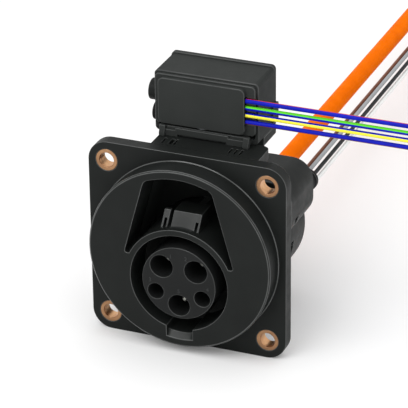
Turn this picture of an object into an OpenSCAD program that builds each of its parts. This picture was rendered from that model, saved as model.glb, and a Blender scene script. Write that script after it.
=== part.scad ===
// Vehicle charging inlet with a square flange, a five-contact socket and a lock actuator.
// X points right and Z up, seen from the socket. The flange's front face lies at Y = 0 and the rear is +Y.

/* [Flange] */
// Width and height of the square flange
flange_w = 90; // [88:0.5:96]
// Thickness of the flange plate
flange_t = 6; // [4:0.5:8]
// Radius of the flange corners
flange_corner_r = 9; // [6:0.5:12]
// Distance of a mounting hole's centre from the flange's edges
bolt_margin = 8.5; // [7.5:0.5:9]
// Outer diameter of a mounting bushing
bushing_d = 10; // [9:0.1:11]
// Bore of a mounting bushing
bushing_bore_d = 6.6; // [5.2:0.1:7]
// Width of the flange's face left beside the disc
disc_margin = 3.5; // [2:0.5:4.5]
// Height of the disc in front of the flange
disc_h = 10; // [8:0.5:13]
// Chamfer of the disc's front edge
disc_chamfer = 0.6; // [0.3:0.1:1.2]

/* [Socket] */
// Distance of the mating axis above the disc's lowest point
mate_margin = 30.5; // [29.5:0.1:31.5]
// Bore of the socket
socket_d = 44.5; // [43:0.1:45]
// Depth of the socket behind the disc front
socket_depth = 30; // [24:0.5:34]
// Thickness of the socket's floor
socket_floor_t = 4; // [3:0.5:6]
// Wall of the collar around the socket
collar_t = 2.75; // [2.4:0.05:3]
// Width of the key slot below the socket
key_w = 12; // [8:0.5:14]
// Height of the key slot at the disc front
key_h = 4.8; // [4.2:0.1:5.5]
// Length of the key slot's entry ramp
key_run = 2.4; // [1.5:0.1:4]
// Length of the key slot
key_l = 22; // [16:0.5:26]

/* [Latch pocket] */
// Wall between the pocket's top and the disc's edge
pocket_wall = 3.9; // [2.5:0.1:5.5]
// Width of the pocket at its top corners
pocket_top_w = 32; // [28:0.5:34]
// Width of the pocket at its base
pocket_base_w = 49.4; // [48:0.2:52]
// Rounding of the pocket's top corners
pocket_corner_r = 3.5; // [2:0.1:5]
// Depth of the pocket behind the disc front
pocket_depth = 34; // [32:0.5:36]
// Distance of the latch catch's left end from the middle
catch_left = 9.2; // [7:0.1:10]
// Distance of the latch catch's right end from the middle
catch_right = 8; // [6.5:0.1:10]
// Height of the latch catch above the collar
catch_h = 5.3; // [3:0.1:6]
// Length of the latch catch's ramp
catch_run = 4.6; // [3:0.1:6]
// Distance of the latch catch behind the collar's rim
catch_setback = 3.4; // [2:0.1:6]

/* [Contacts] */
// Diameter of the contact insert
insert_d = 33.6; // [33:0.1:35]
// Well around a power contact
power_well_d = 10.4; // [9:0.1:10.6]
// Well around the earth contact
earth_well_d = 9.9; // [8:0.1:10.2]
// Well around a signal contact
signal_well_d = 7.3; // [6:0.1:7.6]
// Diameter of a power pin
power_pin_d = 3.6; // [3:0.1:4]
// Diameter of the earth pin
earth_pin_d = 2.8; // [2.4:0.1:3.6]
// Diameter of a signal pin
signal_pin_d = 1.5; // [1.2:0.1:2]
// Distance of the power and signal pin tips behind the insert face
pin_recess = 8; // [5:0.5:10]

/* [Rear housing] */
// Outer diameter of the barrel behind the flange
barrel_d = 56; // [55:0.5:58]
// Wall of the barrel behind the socket floor
barrel_wall = 2.5; // [2:0.1:3]
// Distance of the barrel's end behind the flange front
barrel_end_y = 52; // [50:0.5:55]
// Wall of the rear housing's sleeve
sleeve_wall = 2; // [1.8:0.1:2.6]
// Distance of the sleeve's front edge behind the flange front
sleeve_y = 36; // [34:0.5:37]
// Distance of the rear housing's back face behind the flange front
rear_y = 64; // [60:0.5:70]
// Diameter of the power cable
cable_d = 8.4; // [7:0.1:9]
// Diameter of a sensor wire
sensor_wire_d = 1.8; // [1.2:0.1:1.9]
// Length of the wire grommet behind the rear housing
grommet_l = 8.5; // [6:0.5:12]

/* [Lock actuator] */
// Width of the actuator case
case_w = 47.3; // [47:0.1:49]
// Distance of the case's left side from the middle
case_left = 22; // [21.6:0.1:23]
// Depth of the case behind its joint with the cover
case_depth = 21; // [21:0.5:25]
// Height of the case above the roof
case_h = 28; // [28:0.5:32]
// Wall of the case
case_wall = 1.8; // [1.4:0.1:2]
// Distance of the case joint behind the flange front
case_front_y = 19.3; // [19:0.1:20]
// Thickness of the raised panel on the cover
panel_t = 2; // [1.6:0.1:2.4]
// Diameter of the lock bolt's pin
bolt_d = 6; // [5:0.1:6.2]
// Travel of the lock bolt
bolt_travel = 7; // [5:0.5:7]
// Diameter of the release knob
knob_d = 9.4; // [8:0.2:10]
// Height of the release knob beside the case
knob_h = 3.8; // [3:0.1:5]
// Diameter of an actuator wire
actuator_wire_d = 2; // [1.4:0.1:2.1]
// Distance between neighbouring actuator wires
actuator_wire_pitch = 3.2; // [2.8:0.1:3.4]

/* [Hidden] */
$fn = 64;

// Clearances
press_gap = 0.02;
running_gap = 0.05;
slip_gap = 0.2;

// How far a cut runs past a face, and how far one shape runs into the next of the same piece
cut = 1;
sink = 0.5;

// Colours
black_plastic = "#2d2e2e";
inner_plastic = "#3a3c3c";
rubber = "#1c1d1d";
bronze = "#d2a47c";
silver = "#c9cbcb";
steel = "#9a9d9f";
cable_orange = "#f47a10";
wire_blue = "#2438c8";

// Planes of the front housing
front_y = -disc_h;
bolt_pitch = flange_w - 2 * bolt_margin;
disc_d = flange_w - 2 * disc_margin;
pocket_top_r = disc_d / 2 - pocket_wall;
mate_z = mate_margin - disc_d / 2;
roof_z = flange_w / 2;
socket_r = socket_d / 2;
collar_r = socket_r + collar_t;
floor_y = front_y + socket_depth;
floor_back_y = floor_y + socket_floor_t;
barrel_r = barrel_d / 2;
barrel_bore_r = barrel_r - barrel_wall;
pocket_back_y = front_y + pocket_depth;
pocket_base_z = -0.5;
pocket_base_r = 1;
disc_rim_w = 1;
disc_rim_r = disc_d / 2 + disc_rim_w;
disc_rim_y = flange_t / 2;
block_wall = 1.4;
block_back_y = pocket_back_y + block_wall;
block_side_t = 2.6;
roof_left = -18.4;
roof_right = 30.5;
roof_back_y = 20;
roof_corner_r = 3.5;
roof_t = 4.5;
slot_depth = 1.6;
roof_slots_left = [[-14.6, 0.8], [-11.4, 1.6], [-9.2, 0.8]];
roof_slots_right = [[15.6, 0.8], [18, 0.8], [20.4, 0.8]];
roof_slot_l = 5;

// Latch catch
catch_root = 0.3;
catch_sink = 0.9;
catch_shelf_l = 10;
catch_rib_w = 2.9;
catch_rib_t = 2;
catch_gap = 1.5;
catch_slit = 1.2;
catch_slit_h = 3.2;
catch_rail_w = 0.9;

// Places of the contacts about the mating axis, and the lengths of pins, insert and retainer
power_places = [[-7.85, 6.8], [7.85, 6.8]];
earth_places = [[0, -10.6]];
signal_places = [[-10.65, -5.6], [10.65, -5.6]];
earth_lead = 2;
well_floor_t = 4;
insert_flange_r = 20;
insert_flange_t = 4;
insert_back_y = floor_back_y + insert_flange_t;
well_floor_y = floor_back_y - well_floor_t;
shoulder_t = 3;
retainer_y = insert_back_y + shoulder_t;
retainer_t = 3;
retainer_back_y = retainer_y + retainer_t;
crimp_l = 11;
crimp_wall = 0.9;
crimp_floor = 1;
shank_step = 0.6;
shoulder_step = 1.6;
crimp_step = 1.1;
sensor_l = 6;
sensor_h = 4;
pillar_r = 2.6;
pillar_inset = 2.3;
pillar_ring_r = barrel_bore_r - pillar_inset;
pillar_angles = [90, 210, 330];
retainer_screw_d = 2.4;
retainer_head_d = 4;
retainer_head_t = 2;
retainer_head_y = retainer_back_y + retainer_head_t;
retainer_recess_r = 0.9;
retainer_recess_depth = 1;
retainer_screw_l = 7;

// Clips, seal and lobe of the rear housing; a clip has an angle, a width and a distance from the barrel's end
sleeve_bore_r = barrel_r + slip_gap;
sleeve_r = sleeve_bore_r + sleeve_wall;
rear_wall = 3;
rear_inner_y = rear_y - rear_wall;
clip_l = 3.2;
clips = [[16, 4, 10], [-14, 8, 5.5]];
clip_proud = 0.8;
clip_rise = sleeve_wall + clip_proud;
clip_root = 0.5;
clip_tip = 1;
clip_reach = 10;
window_gap = 0.5;
seal_w = 2.4;
seal_setback = 2.4;
seal_y = sleeve_y + seal_setback;
seal_depth = 1.2;
lobe_x = [4, 34];
lobe_rise = [3.5, 31];
lobe_z = [for (rise = lobe_rise) mate_z + rise];
lobe_corner_r = 10;
lobe_wall = 2.2;
grommet_x = 28;
grommet_rise = 17;
grommet_z = mate_z + grommet_rise;
grommet_r = 4.7;
grommet_lip_r = 5.2;
grommet_lip_t = 2;
grommet_foot_t = 1.2;
sensor_offsets = [[-2.6, 2], [-0.3, 2.6], [1.6, 0.6], [2.6, -2.1]];
wire_gap = 0.06;

// Cable gland
gland_wall = 4.2;
gland_hex_step = 3;
gland_thread_r = cable_d / 2 + gland_wall;
gland_hex_r = gland_thread_r + gland_hex_step;
gland_hex_t = 4;
gland_thread_l = 7;
gland_bore_gap = 0.8;
gland_bore_r = cable_d / 2 + gland_bore_gap;
gland_tail = 2;
gland_hex_y = rear_y;
gland_thread_y = gland_hex_y + gland_hex_t;
gland_thread_end = gland_thread_y + gland_thread_l;
gland_nut_gap = 1.5;
gland_nut_y = gland_thread_y + gland_nut_gap;
gland_nut_hex_l = 9;
gland_cone_l = 11;
gland_nut_end = gland_thread_end + gland_cone_l;
gland_mouth_gap = 0.3;
gland_mouth_r = cable_d / 2 + gland_mouth_gap;
gland_mouth_wall = 2;
gland_nut_wall = 1.6;
gland_nut_step = 1;
gland_seal_step = 1;
gland_mouth_t = 1.6;

// Actuator case and cover
case_x0 = -case_left;
case_x1 = case_x0 + case_w;
case_back_y = case_front_y + case_depth;
case_z0 = roof_z;
case_z1 = roof_z + case_h;
case_corner_r = 2;
back_rim_h = 0.8;
back_rim_t = 2.4;
case_floor_t = 2.5;
case_floor_z = case_z0 + case_floor_t;
lip_depth = 3;
lip_h = 4.2;
lip_margins = [3, 3.3];
lip_x = [case_x0 + lip_margins[0], case_x1 - lip_margins[1]];
foot_drop = 8;
foot_side = 1.2;
foot_chamfer = 5;
ear_w = 1.2;
ear_l = 6;
ear_z = [4, 12];
rim_t = 1.8;
rim_inset = 0.9;
panel_margin = 5;
cover_x1 = case_x1 - panel_margin;
cover_gap = 0.3;
cover_z0 = case_z0 + lip_h + cover_gap;
rim_drop = 0.8;
rim_z1 = case_z1 - rim_drop;
panel_y = case_front_y - rim_t - panel_t;
panel_inset = 3;
panel_x0 = case_x0 + panel_inset;
panel_rise = 0.8;
panel_z0 = cover_z0 + panel_rise;
panel_drop = 1;
panel_z1 = rim_z1 - panel_drop;
panel_corner_r = 2.5;
panel_skin = 1.6;
panel_sides = [2, 3];
panel_sills = [1.6, 1];
slider_room = [0.6, 2];
wire_y = case_front_y - (rim_t + panel_t) / 2;
wire_rise = 11.1;
wire_z0 = roof_z + wire_rise;
wire_seal_l = 2.2;
wire_channel_gap = 0.3;
wire_seal_margin = 1.6;
wire_seal_skin = 0.3;

// Drive train: the bolt's rack meets a pinion on the release shaft; half a tooth is a share of the pitch
tooth_root = 0.29;
tooth_tip = 0.11;
tooth_sink = 0.2;
shaft_setback = 7.2;
shaft_rise = 15.5;
shaft_y = case_front_y + shaft_setback;
shaft_z = roof_z + shaft_rise;
shaft_d = 4;
shaft_end_x = 14.2;
rack_pinion_r = 4;
rack_pinion_teeth = 10;
rack_pinion_w = 7.6;
rack_pitch = 2 * PI * rack_pinion_r / rack_pinion_teeth;
rack_addendum = 0.6;
rack_dedendum = 0.9;
gear_r = 8;
gear_teeth = 32;
gear_x = 7.6;
gear_w = 3;
gear_addendum = 0.4;
gear_dedendum = 0.65;
motor_pinion_teeth = 8;
motor_pinion_r = gear_r * motor_pinion_teeth / gear_teeth;
motor_angle = -48.7;
motor_y = shaft_y + (gear_r + motor_pinion_r) * cos(motor_angle);
motor_z = shaft_z + (gear_r + motor_pinion_r) * sin(motor_angle);
motor_r = 5;
motor_x = [-17, 5];
motor_wall = 0.8;
motor_front_t = 1.2;
motor_cap_t = 2;
motor_cap_seat = 0.8;
motor_shaft_r = 0.75;
motor_boss_r = 2;
motor_boss_l = 1;
motor_tail = 0.6;
rotor_gap = 0.4;
rotor_end_gap = 0.6;
cradle_inset = 2;
cradle_t = 2;
cradle_w = 8;
cradle_drop = 1;
bearing_gap = 1.8;
bearing_x = gear_x + gear_w + bearing_gap;
bearing_t = 2;
bearing_margin = 3.2;

// Lock bolt at rest, drawn up into the case
bolt_setback = 1;
bolt_y = case_front_y + bolt_setback;
bolt_tip_depth = 2.6;
bolt_tip_z = roof_z - roof_t - bolt_tip_depth;
slider_w = 8;
slider_l = 13.3;
slider_lift = 0.5;
slider_z0 = roof_z + lip_h + slider_lift + bolt_travel;
slider_z = [slider_z0, slider_z0 + slider_l];
slider_reach = 1.9;
slider_front_y = case_front_y - slider_reach;
rack_line_y = shaft_y - rack_pinion_r;
guide_gap = 0.25;
guide_w = 1.8;
guide_front_gap = 0.1;
guide_back_gap = 0.5;
bolt_seal_r = 5;
bolt_seal_t = 1.4;

// Small pieces inside and on the case
board_t = 1.3;
board_margin = 0.6;
board_rise = 2;
switch_size = [6, 6, 6.5];
switch_x = -14;
switch_y = case_front_y + slip_gap;
switch_lever = [0.8, 2, 1.4];
switch_lever_y = 1.5;
switch_lever_drop = 2.4;
vent_y = shaft_y;
vent_rise = 5.6;
vent_z = roof_z + vent_rise;
vent_head_r = 4;
vent_head_t = 2.9;
vent_stem_r = 2.4;
knob_gap = 0.5;
knob_cap_t = 2;
knob_recess_r = 2.2;
knob_recess_depth = 1.5;

// Retaining bar under the cover
bar_t = 1.3;
bar_y = case_front_y - lip_depth - bar_t;
bar_h = 3;
bar_rise = 1.1;
bar_margins = [3.8, 2.7];
bar_x = [case_x0 + bar_margins[0], case_x1 - bar_margins[1]];
bar_step_x = [-10, 12];
hook_w = 2.6;
hook_h = 4.6;
hook_l = 2.2;
hook_foot_l = 1;
hook_foot_h = 1.4;

// Routes of the leads from their exits, laid down to the plane that the flange stands on
ground_z = -flange_w / 2;
cable_sides = 12;
wire_sides = 8;
cable_seat = 1;
cable_y = rear_inner_y + cable_seat;
cable_lay_z = ground_z + cable_d / 2;
cable_drop = cable_lay_z - mate_z;
cable_coil_r = 46;
cable_coil_y = 387;
cable_meet = 20;
cable_run = cable_coil_y - cable_meet - cable_y;
cable_route = [
    [0, 0, 0], [0, 80, 0], [0, 160, 0], [0, 247, 0], [0, 256, 0.04 * cable_drop], [0, 264, 0.14 * cable_drop],
    [0, 271, 0.3 * cable_drop], [0, 276.5, 0.5 * cable_drop], [0, 282, 0.7 * cable_drop],
    [0, 289, 0.86 * cable_drop], [0, 297, 0.96 * cable_drop], [0, cable_run, cable_drop]
];
lay_gap = 0.2;
sensor_seat = 0.5;
sensor_start_y = rear_inner_y + sensor_seat;
sensor_drop = ground_z + sensor_wire_d / 2 + lay_gap - grommet_z;
sensor_lane = 1.9;
sensor_coil_r = 12;
sensor_coil_y = 290;
sensor_coil_section = [8, 14.5];
sensor_route = [
    [0, 0, 0], [0, 80, 0], [0, 162, 0], [0, 176, 0.1 * sensor_drop], [0, 188, 0.34 * sensor_drop],
    [0, 199, 0.7 * sensor_drop], [0, 211, 0.95 * sensor_drop], [0, 224, sensor_drop]
];
actuator_start_x = cover_x1 - wire_seal_l;
actuator_drop = ground_z + actuator_wire_d / 2 + lay_gap - wire_z0;
actuator_lane = 2.1;
actuator_coil_r = 12;
actuator_coil_x = 136;
actuator_coil_section = [8.6, 12.5];
actuator_fan = 2.2;
actuator_bend_x = 80;
actuator_route = [
    [0, 0, 0], [40, 0, 0], [actuator_bend_x, 0, 0], [89, 0, 0.08 * actuator_drop],
    [94, 0, 0.27 * actuator_drop],
    [97.5, 0, 0.5 * actuator_drop], [101, 0, 0.75 * actuator_drop], [105.5, 0, 0.94 * actuator_drop],
    [111, 0, actuator_drop]
];

// Shapes drawn in X and Z, run along Y
module along_y(y0, y1) {
    translate([0, y1, 0])
    rotate([90, 0, 0])
    linear_extrude(y1 - y0)
    children();
}

// Shapes drawn in Y and Z, run along X
module along_x(x0, x1) {
    translate([x0, 0, 0])
    rotate([90, 0, 90])
    linear_extrude(x1 - x0)
    children();
}

module along_z(z0, z1) {
    translate([0, 0, z0])
    linear_extrude(z1 - z0)
    children();
}

module rod_x(x0, x1, r) {
    along_x(x0, x1) circle(r = r);
}

module rod_y(y0, y1, r) {
    along_y(y0, y1) circle(r = r);
}

module tube_y(y0, y1, outer_r, inner_r) {
    difference() {
        rod_y(y0, y1, outer_r);
        rod_y(y0 - cut, y1 + cut, inner_r);
    }
}

// Profile of radius and Y, turned about the Y axis
module turned_y() {
    rotate([-90, 0, 0])
    rotate_extrude()
    children();
}

module box(x, y, z) {
    translate([x[0], y[0], z[0]])
    cube([x[1] - x[0], y[1] - y[0], z[1] - z[0]]);
}

module rounded_rect(x, z, r) {
    translate([x[0] + r, z[0]]) square([x[1] - x[0] - 2 * r, z[1] - z[0]]);
    translate([x[0], z[0] + r]) square([x[1] - x[0], z[1] - z[0] - 2 * r]);
    for (px = [x[0] + r, x[1] - r], pz = [z[0] + r, z[1] - r])
        translate([px, pz]) circle(r = r);
}

module at_mate() {
    translate([0, 0, mate_z])
    children();
}

module at_bolts() {
    for (x = [-1, 1], z = [-1, 1])
        translate([x * bolt_pitch / 2, 0, z * bolt_pitch / 2])
        children();
}

module at_places(places) {
    for (p = places)
        translate([p[0], 0, mate_z + p[1]])
        children();
}

module at_pillars() {
    for (a = pillar_angles)
        translate([pillar_ring_r * cos(a), 0, mate_z + pillar_ring_r * sin(a)])
        children();
}

module at_clips() {
    for (side = [0, 1], c = clips)
        let ($clip_w = c[1], $clip_y = barrel_end_y - c[2])
        at_mate()
        mirror([side, 0, 0])
        rotate([0, -c[0], 0])
        children();
}

// A round tube swept along a route, with one ring at each of its points
function unit(v) = v / norm(v);
function heading(route, i) = unit(route[min(i + 1, len(route) - 1)] - route[max(i - 1, 0)]);
function side_of(t, across) = unit(across - (across * t) * t);
function ring(c, t, across, r, sides) = [
    for (k = [0 : sides - 1])
        let (u = side_of(t, across), v = cross(t, u), a = 360 * k / sides)
        c + r * (cos(a) * u + sin(a) * v)
];

module swept_tube(route, r, across, sides) {
    rings = [for (i = [0 : len(route) - 1]) ring(route[i], heading(route, i), across, r, sides)];
    points = [for (one = rings) each one];
    last = (len(route) - 1) * sides;
    walls = [
        for (i = [0 : len(route) - 2], k = [0 : sides - 1])
            let (n = (k + 1) % sides, a = i * sides, b = a + sides)
            [a + k, b + k, b + n, a + n]
    ];
    start_cap = [for (k = [0 : sides - 1]) k];
    end_cap = [for (k = [sides - 1 : -1 : 0]) last + k];
    polyhedron(points, concat([start_cap], walls, [end_cap]));
}

// A ring on the ground in place of the coiled length of a lead
module coil(place, middle_r, section) {
    translate([place[0], place[1], ground_z])
    rotate_extrude()
    translate([middle_r - section[0] / 2, 0])
    square(section);
}

// Front housing: disc with the socket's mouth, collar, latch pocket, catch and key slot
module front_housing() color(black_plastic) {
    difference() {
        disc();
        at_mate() rod_y(front_y - cut, flange_t + cut, socket_r);
        latch_pocket();
        key_slot();
    }
    latch_catch();
}

// Disc set into the flange from behind, with a rim that is bonded into the flange's step
module disc() {
    r = disc_d / 2;
    turned_y() polygon([
        [0, front_y], [r - disc_chamfer, front_y], [r, front_y + disc_chamfer], [r, disc_rim_y],
        [disc_rim_r, disc_rim_y], [disc_rim_r, flange_t], [0, flange_t]
    ]);
}

module mounting_flange() color(black_plastic)
    difference() {
        along_y(0, flange_t) rounded_rect([-1, 1] * flange_w / 2, [-1, 1] * flange_w / 2, flange_corner_r);
        at_bolts() rod_y(-cut, flange_t + cut, bushing_d / 2 + press_gap);
        rod_y(-cut, flange_t + cut, disc_d / 2 + press_gap);
        rod_y(disc_rim_y, flange_t + cut, disc_rim_r + press_gap);
    }

// The socket behind the flange, with its floor, the seal's groove and the clips of the rear housing
module socket_barrel() color(black_plastic) {
    difference() {
        at_mate() rod_y(flange_t, barrel_end_y, barrel_r);
        at_mate() rod_y(flange_t - cut, floor_y, socket_r);
        at_mate() rod_y(floor_y - cut, floor_back_y + cut, insert_d / 2 + slip_gap);
        at_mate() rod_y(floor_back_y, barrel_end_y + cut, barrel_bore_r);
        at_mate() tube_y(seal_y, seal_y + seal_w, barrel_r + cut, barrel_r - seal_depth);
        block_space();
        key_slot();
    }
    retainer_pillars();
    at_clips() clip_hook();
}

module pocket_outline() {
    corner_x = pocket_top_w / 2 - pocket_corner_r;
    corner_reach = pocket_top_r - pocket_corner_r;
    corner_z = sqrt(corner_reach * corner_reach - corner_x * corner_x);
    far = 2 * pocket_top_r / corner_reach;
    base_x = pocket_base_w / 2 - pocket_base_r;
    hull()
        for (side = [-1, 1]) {
            translate([side * corner_x, corner_z]) circle(r = pocket_corner_r, $fn = 32);
            translate([side * base_x, pocket_base_z + pocket_base_r]) circle(r = pocket_base_r, $fn = 32);
        }
    intersection() {
        circle(r = pocket_top_r);
        polygon([[0, 0], [corner_x * far, corner_z * far], [-corner_x * far, corner_z * far]]);
    }
}

module latch_pocket() {
    along_y(front_y - cut, pocket_back_y)
    difference() {
        pocket_outline();
        translate([0, mate_z]) circle(r = collar_r);
    }
}

module block_outline() {
    base_x = pocket_base_w / 2 + block_side_t;
    shoulder_z = roof_z - roof_t;
    polygon([
        [-base_x, pocket_base_z], [base_x, pocket_base_z], [-roof_left, shoulder_z],
        [-roof_left, roof_z], [roof_left, roof_z], [roof_left, shoulder_z]
    ]);
}

// Room that the barrel leaves to the lock block, all but the collar
module block_space() {
    along_y(flange_t - cut, block_back_y)
    difference() {
        block_outline();
        translate([0, mate_z]) circle(r = collar_r);
    }
}

// The block around the pocket behind the flange, with the flat roof that carries the actuator
module lock_block() color(black_plastic)
    difference() {
        union() {
            along_y(flange_t, block_back_y) block_outline();
            roof_plate();
        }
        at_mate() rod_y(flange_t - cut, block_back_y + cut, collar_r + slip_gap);
        latch_pocket();
        bolt_bore();
        roof_slots();
    }

module roof_plate() {
    z0 = roof_z - roof_t;
    difference() {
        along_z(z0, roof_z)
        rounded_rect([roof_left, roof_right], [flange_t - roof_corner_r - cut, roof_back_y], roof_corner_r);
        box([roof_left - cut, roof_right + cut], [-flange_t, flange_t], [z0 - cut, roof_z + cut]);
    }
}

module roof_slots() {
    for (slot = concat(roof_slots_left, roof_slots_right))
        translate([slot[0], bar_y - hook_l - roof_slot_l, roof_z - slot_depth])
        cube([slot[1], roof_slot_l, slot_depth + cut]);
}

module bolt_bore() {
    translate([0, bolt_y, 0]) {
        along_z(pocket_top_r - 2 * cut, roof_z + cut) circle(r = bolt_d / 2 + running_gap);
        along_z(roof_z - bolt_seal_t, roof_z + cut) circle(r = bolt_seal_r + running_gap);
    }
}

// Slot with a round floor about the mating axis, opened by a short ramp at the front
module key_slot() {
    mouth_r = socket_r + key_h;
    slot_r = mouth_r - key_run;
    at_mate() intersection() {
        turned_y() polygon([
            [0, front_y - cut], [mouth_r, front_y - cut], [mouth_r, front_y], [slot_r, front_y + key_run],
            [slot_r, front_y + key_l], [0, front_y + key_l]
        ]);
        box([-key_w / 2, key_w / 2], [front_y - 2 * cut, floor_y], [-mouth_r - cut, 0]);
    }
}

// The ramp that the plug's latch rides over, with a shelf behind it, one full gap and two half-height slits
module latch_catch() {
    root_z = mate_z + socket_r + catch_root;
    foot_z = mate_z + collar_r - catch_sink;
    top_z = mate_z + collar_r + catch_h;
    slit_top = foot_z + catch_slit_h;
    y0 = front_y + catch_setback;
    y1 = y0 + catch_run;
    y2 = y1 + catch_shelf_l;
    x0 = -catch_left;
    gap_x0 = x0 + catch_rib_w;
    gap_x1 = gap_x0 + catch_gap;
    slit_x1 = catch_right - catch_rail_w;
    difference() {
        along_x(x0, catch_right)
            polygon([[y0, root_z], [y0, foot_z], [y1, top_z], [y2, top_z], [y2, root_z]]);
        at_mate() rod_y(y0 - cut, y2 + cut, collar_r - catch_root);
        at_mate() rod_y(flange_t, y2 + cut, collar_r + slip_gap);
        box([gap_x0, gap_x1], [y0 - cut, y2 + cut], [root_z, top_z + cut]);
        box([x0 - cut, gap_x1], [y1 + catch_rib_t, y2 + cut], [root_z, top_z + cut]);
        box([x0 + catch_rail_w, x0 + catch_rail_w + catch_slit], [y0 - cut, y2 + cut], [root_z, slit_top]);
        box([slit_x1 - catch_slit, slit_x1], [y0 - cut, y2 + cut], [root_z, slit_top]);
    }
}

module retainer_pillars() {
    difference() {
        at_pillars() tube_y(floor_back_y - cut, retainer_y, pillar_r, retainer_screw_d / 2 + running_gap);
        block_space();
    }
}

module clip_hook() {
    rise = clip_rise + slip_gap + clip_root;
    translate([barrel_r - clip_root, 0, -$clip_w / 2])
    linear_extrude($clip_w)
    translate([0, $clip_y])
    polygon([[0, 0], [rise, 0], [rise, clip_tip], [clip_root, clip_l], [0, clip_l]]);
}

module mounting_bushings() color(bronze)
    at_bolts() tube_y(0, flange_t, bushing_d / 2, bushing_bore_d / 2);

module contact_insert() color(inner_plastic)
    difference() {
        at_mate() rod_y(front_y, well_floor_y, insert_d / 2);
        contact_holes(power_places, power_well_d / 2);
        contact_holes(earth_places, earth_well_d / 2);
        contact_holes(signal_places, signal_well_d / 2);
    }

// Holds the pins' shanks, and closes the wells at the back
module contact_carrier() color(inner_plastic)
    difference() {
        at_mate() union() {
            rod_y(well_floor_y, floor_back_y + cut, insert_d / 2);
            rod_y(floor_back_y, insert_back_y, insert_flange_r);
        }
        contact_holes(power_places, power_pin_d / 2 + shank_step + running_gap);
        contact_holes(earth_places, earth_pin_d / 2 + shank_step + running_gap);
        contact_holes(signal_places, signal_pin_d / 2 + shank_step + running_gap);
    }

module contact_holes(places, r) {
    at_places(places) rod_y(front_y - cut, insert_back_y + cut, r);
}

// Turned pin: rounded tip, shank in the insert, shoulder against the retainer, hollow crimp end
module contact_pin(d, tip_y) {
    r = d / 2;
    nose = r / 2;
    shank_r = r + shank_step;
    shoulder_r = shank_r + shoulder_step;
    crimp_r = shank_r + crimp_step;
    crimp_end_y = retainer_y + crimp_l;
    turned_y() polygon([
        [0, tip_y], [r - nose, tip_y], [r, tip_y + nose], [r, well_floor_y], [shank_r, well_floor_y],
        [shank_r, insert_back_y], [shoulder_r, insert_back_y], [shoulder_r, retainer_y],
        [crimp_r, retainer_y],
        [crimp_r, crimp_end_y], [crimp_r - crimp_wall, crimp_end_y],
        [crimp_r - crimp_wall, retainer_back_y + crimp_floor], [0, retainer_back_y + crimp_floor]
    ]);
}

module power_pins() color(silver)
    at_places(power_places) contact_pin(power_pin_d, front_y + pin_recess);

module earth_pin() color(silver)
    at_places(earth_places) contact_pin(earth_pin_d, front_y + pin_recess - earth_lead);

module signal_pins() color(silver)
    at_places(signal_places) contact_pin(signal_pin_d, front_y + pin_recess);

module contact_retainer() color(inner_plastic)
    difference() {
        at_mate() rod_y(retainer_y, retainer_back_y, barrel_bore_r - slip_gap);
        retainer_hole(power_places, power_pin_d);
        retainer_hole(earth_places, earth_pin_d);
        retainer_hole(signal_places, signal_pin_d);
        at_pillars() rod_y(retainer_y - cut, retainer_back_y + cut, retainer_screw_d / 2 + slip_gap);
    }

module retainer_hole(places, pin_d) {
    at_places(places)
    rod_y(retainer_y - cut, retainer_back_y + cut, pin_d / 2 + shank_step + crimp_step + running_gap);
}

module retainer_screws() color(steel)
    at_pillars() difference() {
        union() {
            rod_y(retainer_back_y - retainer_screw_l, retainer_back_y + cut, retainer_screw_d / 2);
            rod_y(retainer_back_y, retainer_head_y, retainer_head_d / 2);
        }
        rod_y(retainer_head_y - retainer_recess_depth, retainer_head_y + cut, retainer_recess_r, $fn = 6);
    }

// Sensor block between the crimp ends of the power pins
module temperature_sensor() color(rubber) {
    gap = power_places[1][0] - power_pin_d / 2 - shank_step - crimp_step - slip_gap;
    z = mate_z + power_places[0][1];
    box([-gap, gap], [retainer_back_y, retainer_back_y + sensor_l], [z - sensor_h / 2, z + sensor_h / 2]);
}

// Rear housing: sleeve that clips over the barrel, closed at the back, with a lobe for the sensor wires
module rear_housing() color(black_plastic)
    difference() {
        union() {
            at_mate() rod_y(sleeve_y, rear_y, sleeve_r);
            along_y(sleeve_y, rear_y) rounded_rect(lobe_x, lobe_z, lobe_corner_r);
        }
        at_mate() rod_y(sleeve_y - cut, rear_inner_y, sleeve_bore_r);
        along_y(barrel_end_y, rear_inner_y)
            rounded_rect(
                [lobe_x[0] + lobe_wall, lobe_x[1] - lobe_wall],
                [lobe_z[0] + lobe_wall, lobe_z[1] - lobe_wall],
                lobe_corner_r - lobe_wall
            );
        at_mate() rod_y(rear_inner_y - cut, rear_y + cut, gland_thread_r + slip_gap);
        translate([grommet_x, 0, grommet_z]) rod_y(rear_inner_y - cut, rear_y + cut, grommet_r + press_gap);
        at_clips() clip_window();
    }

module clip_window() {
    w = $clip_w + 2 * window_gap;
    translate([barrel_r - cut, $clip_y - window_gap, -w / 2])
    cube([clip_reach, clip_l + 2 * window_gap, w]);
}

module housing_seal() color(rubber)
    at_mate() tube_y(
        seal_y + running_gap, seal_y + seal_w - running_gap,
        sleeve_bore_r - running_gap, barrel_r - seal_depth + running_gap
    );

module gland_body() color(black_plastic)
    difference() {
        at_mate() union() {
            rod_y(rear_inner_y - gland_tail, gland_thread_end, gland_thread_r);
            rod_y(gland_hex_y, gland_thread_y, gland_hex_r, $fn = 6);
        }
        at_mate() rod_y(rear_inner_y - gland_tail - cut, gland_thread_end + cut, gland_bore_r);
    }

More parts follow.
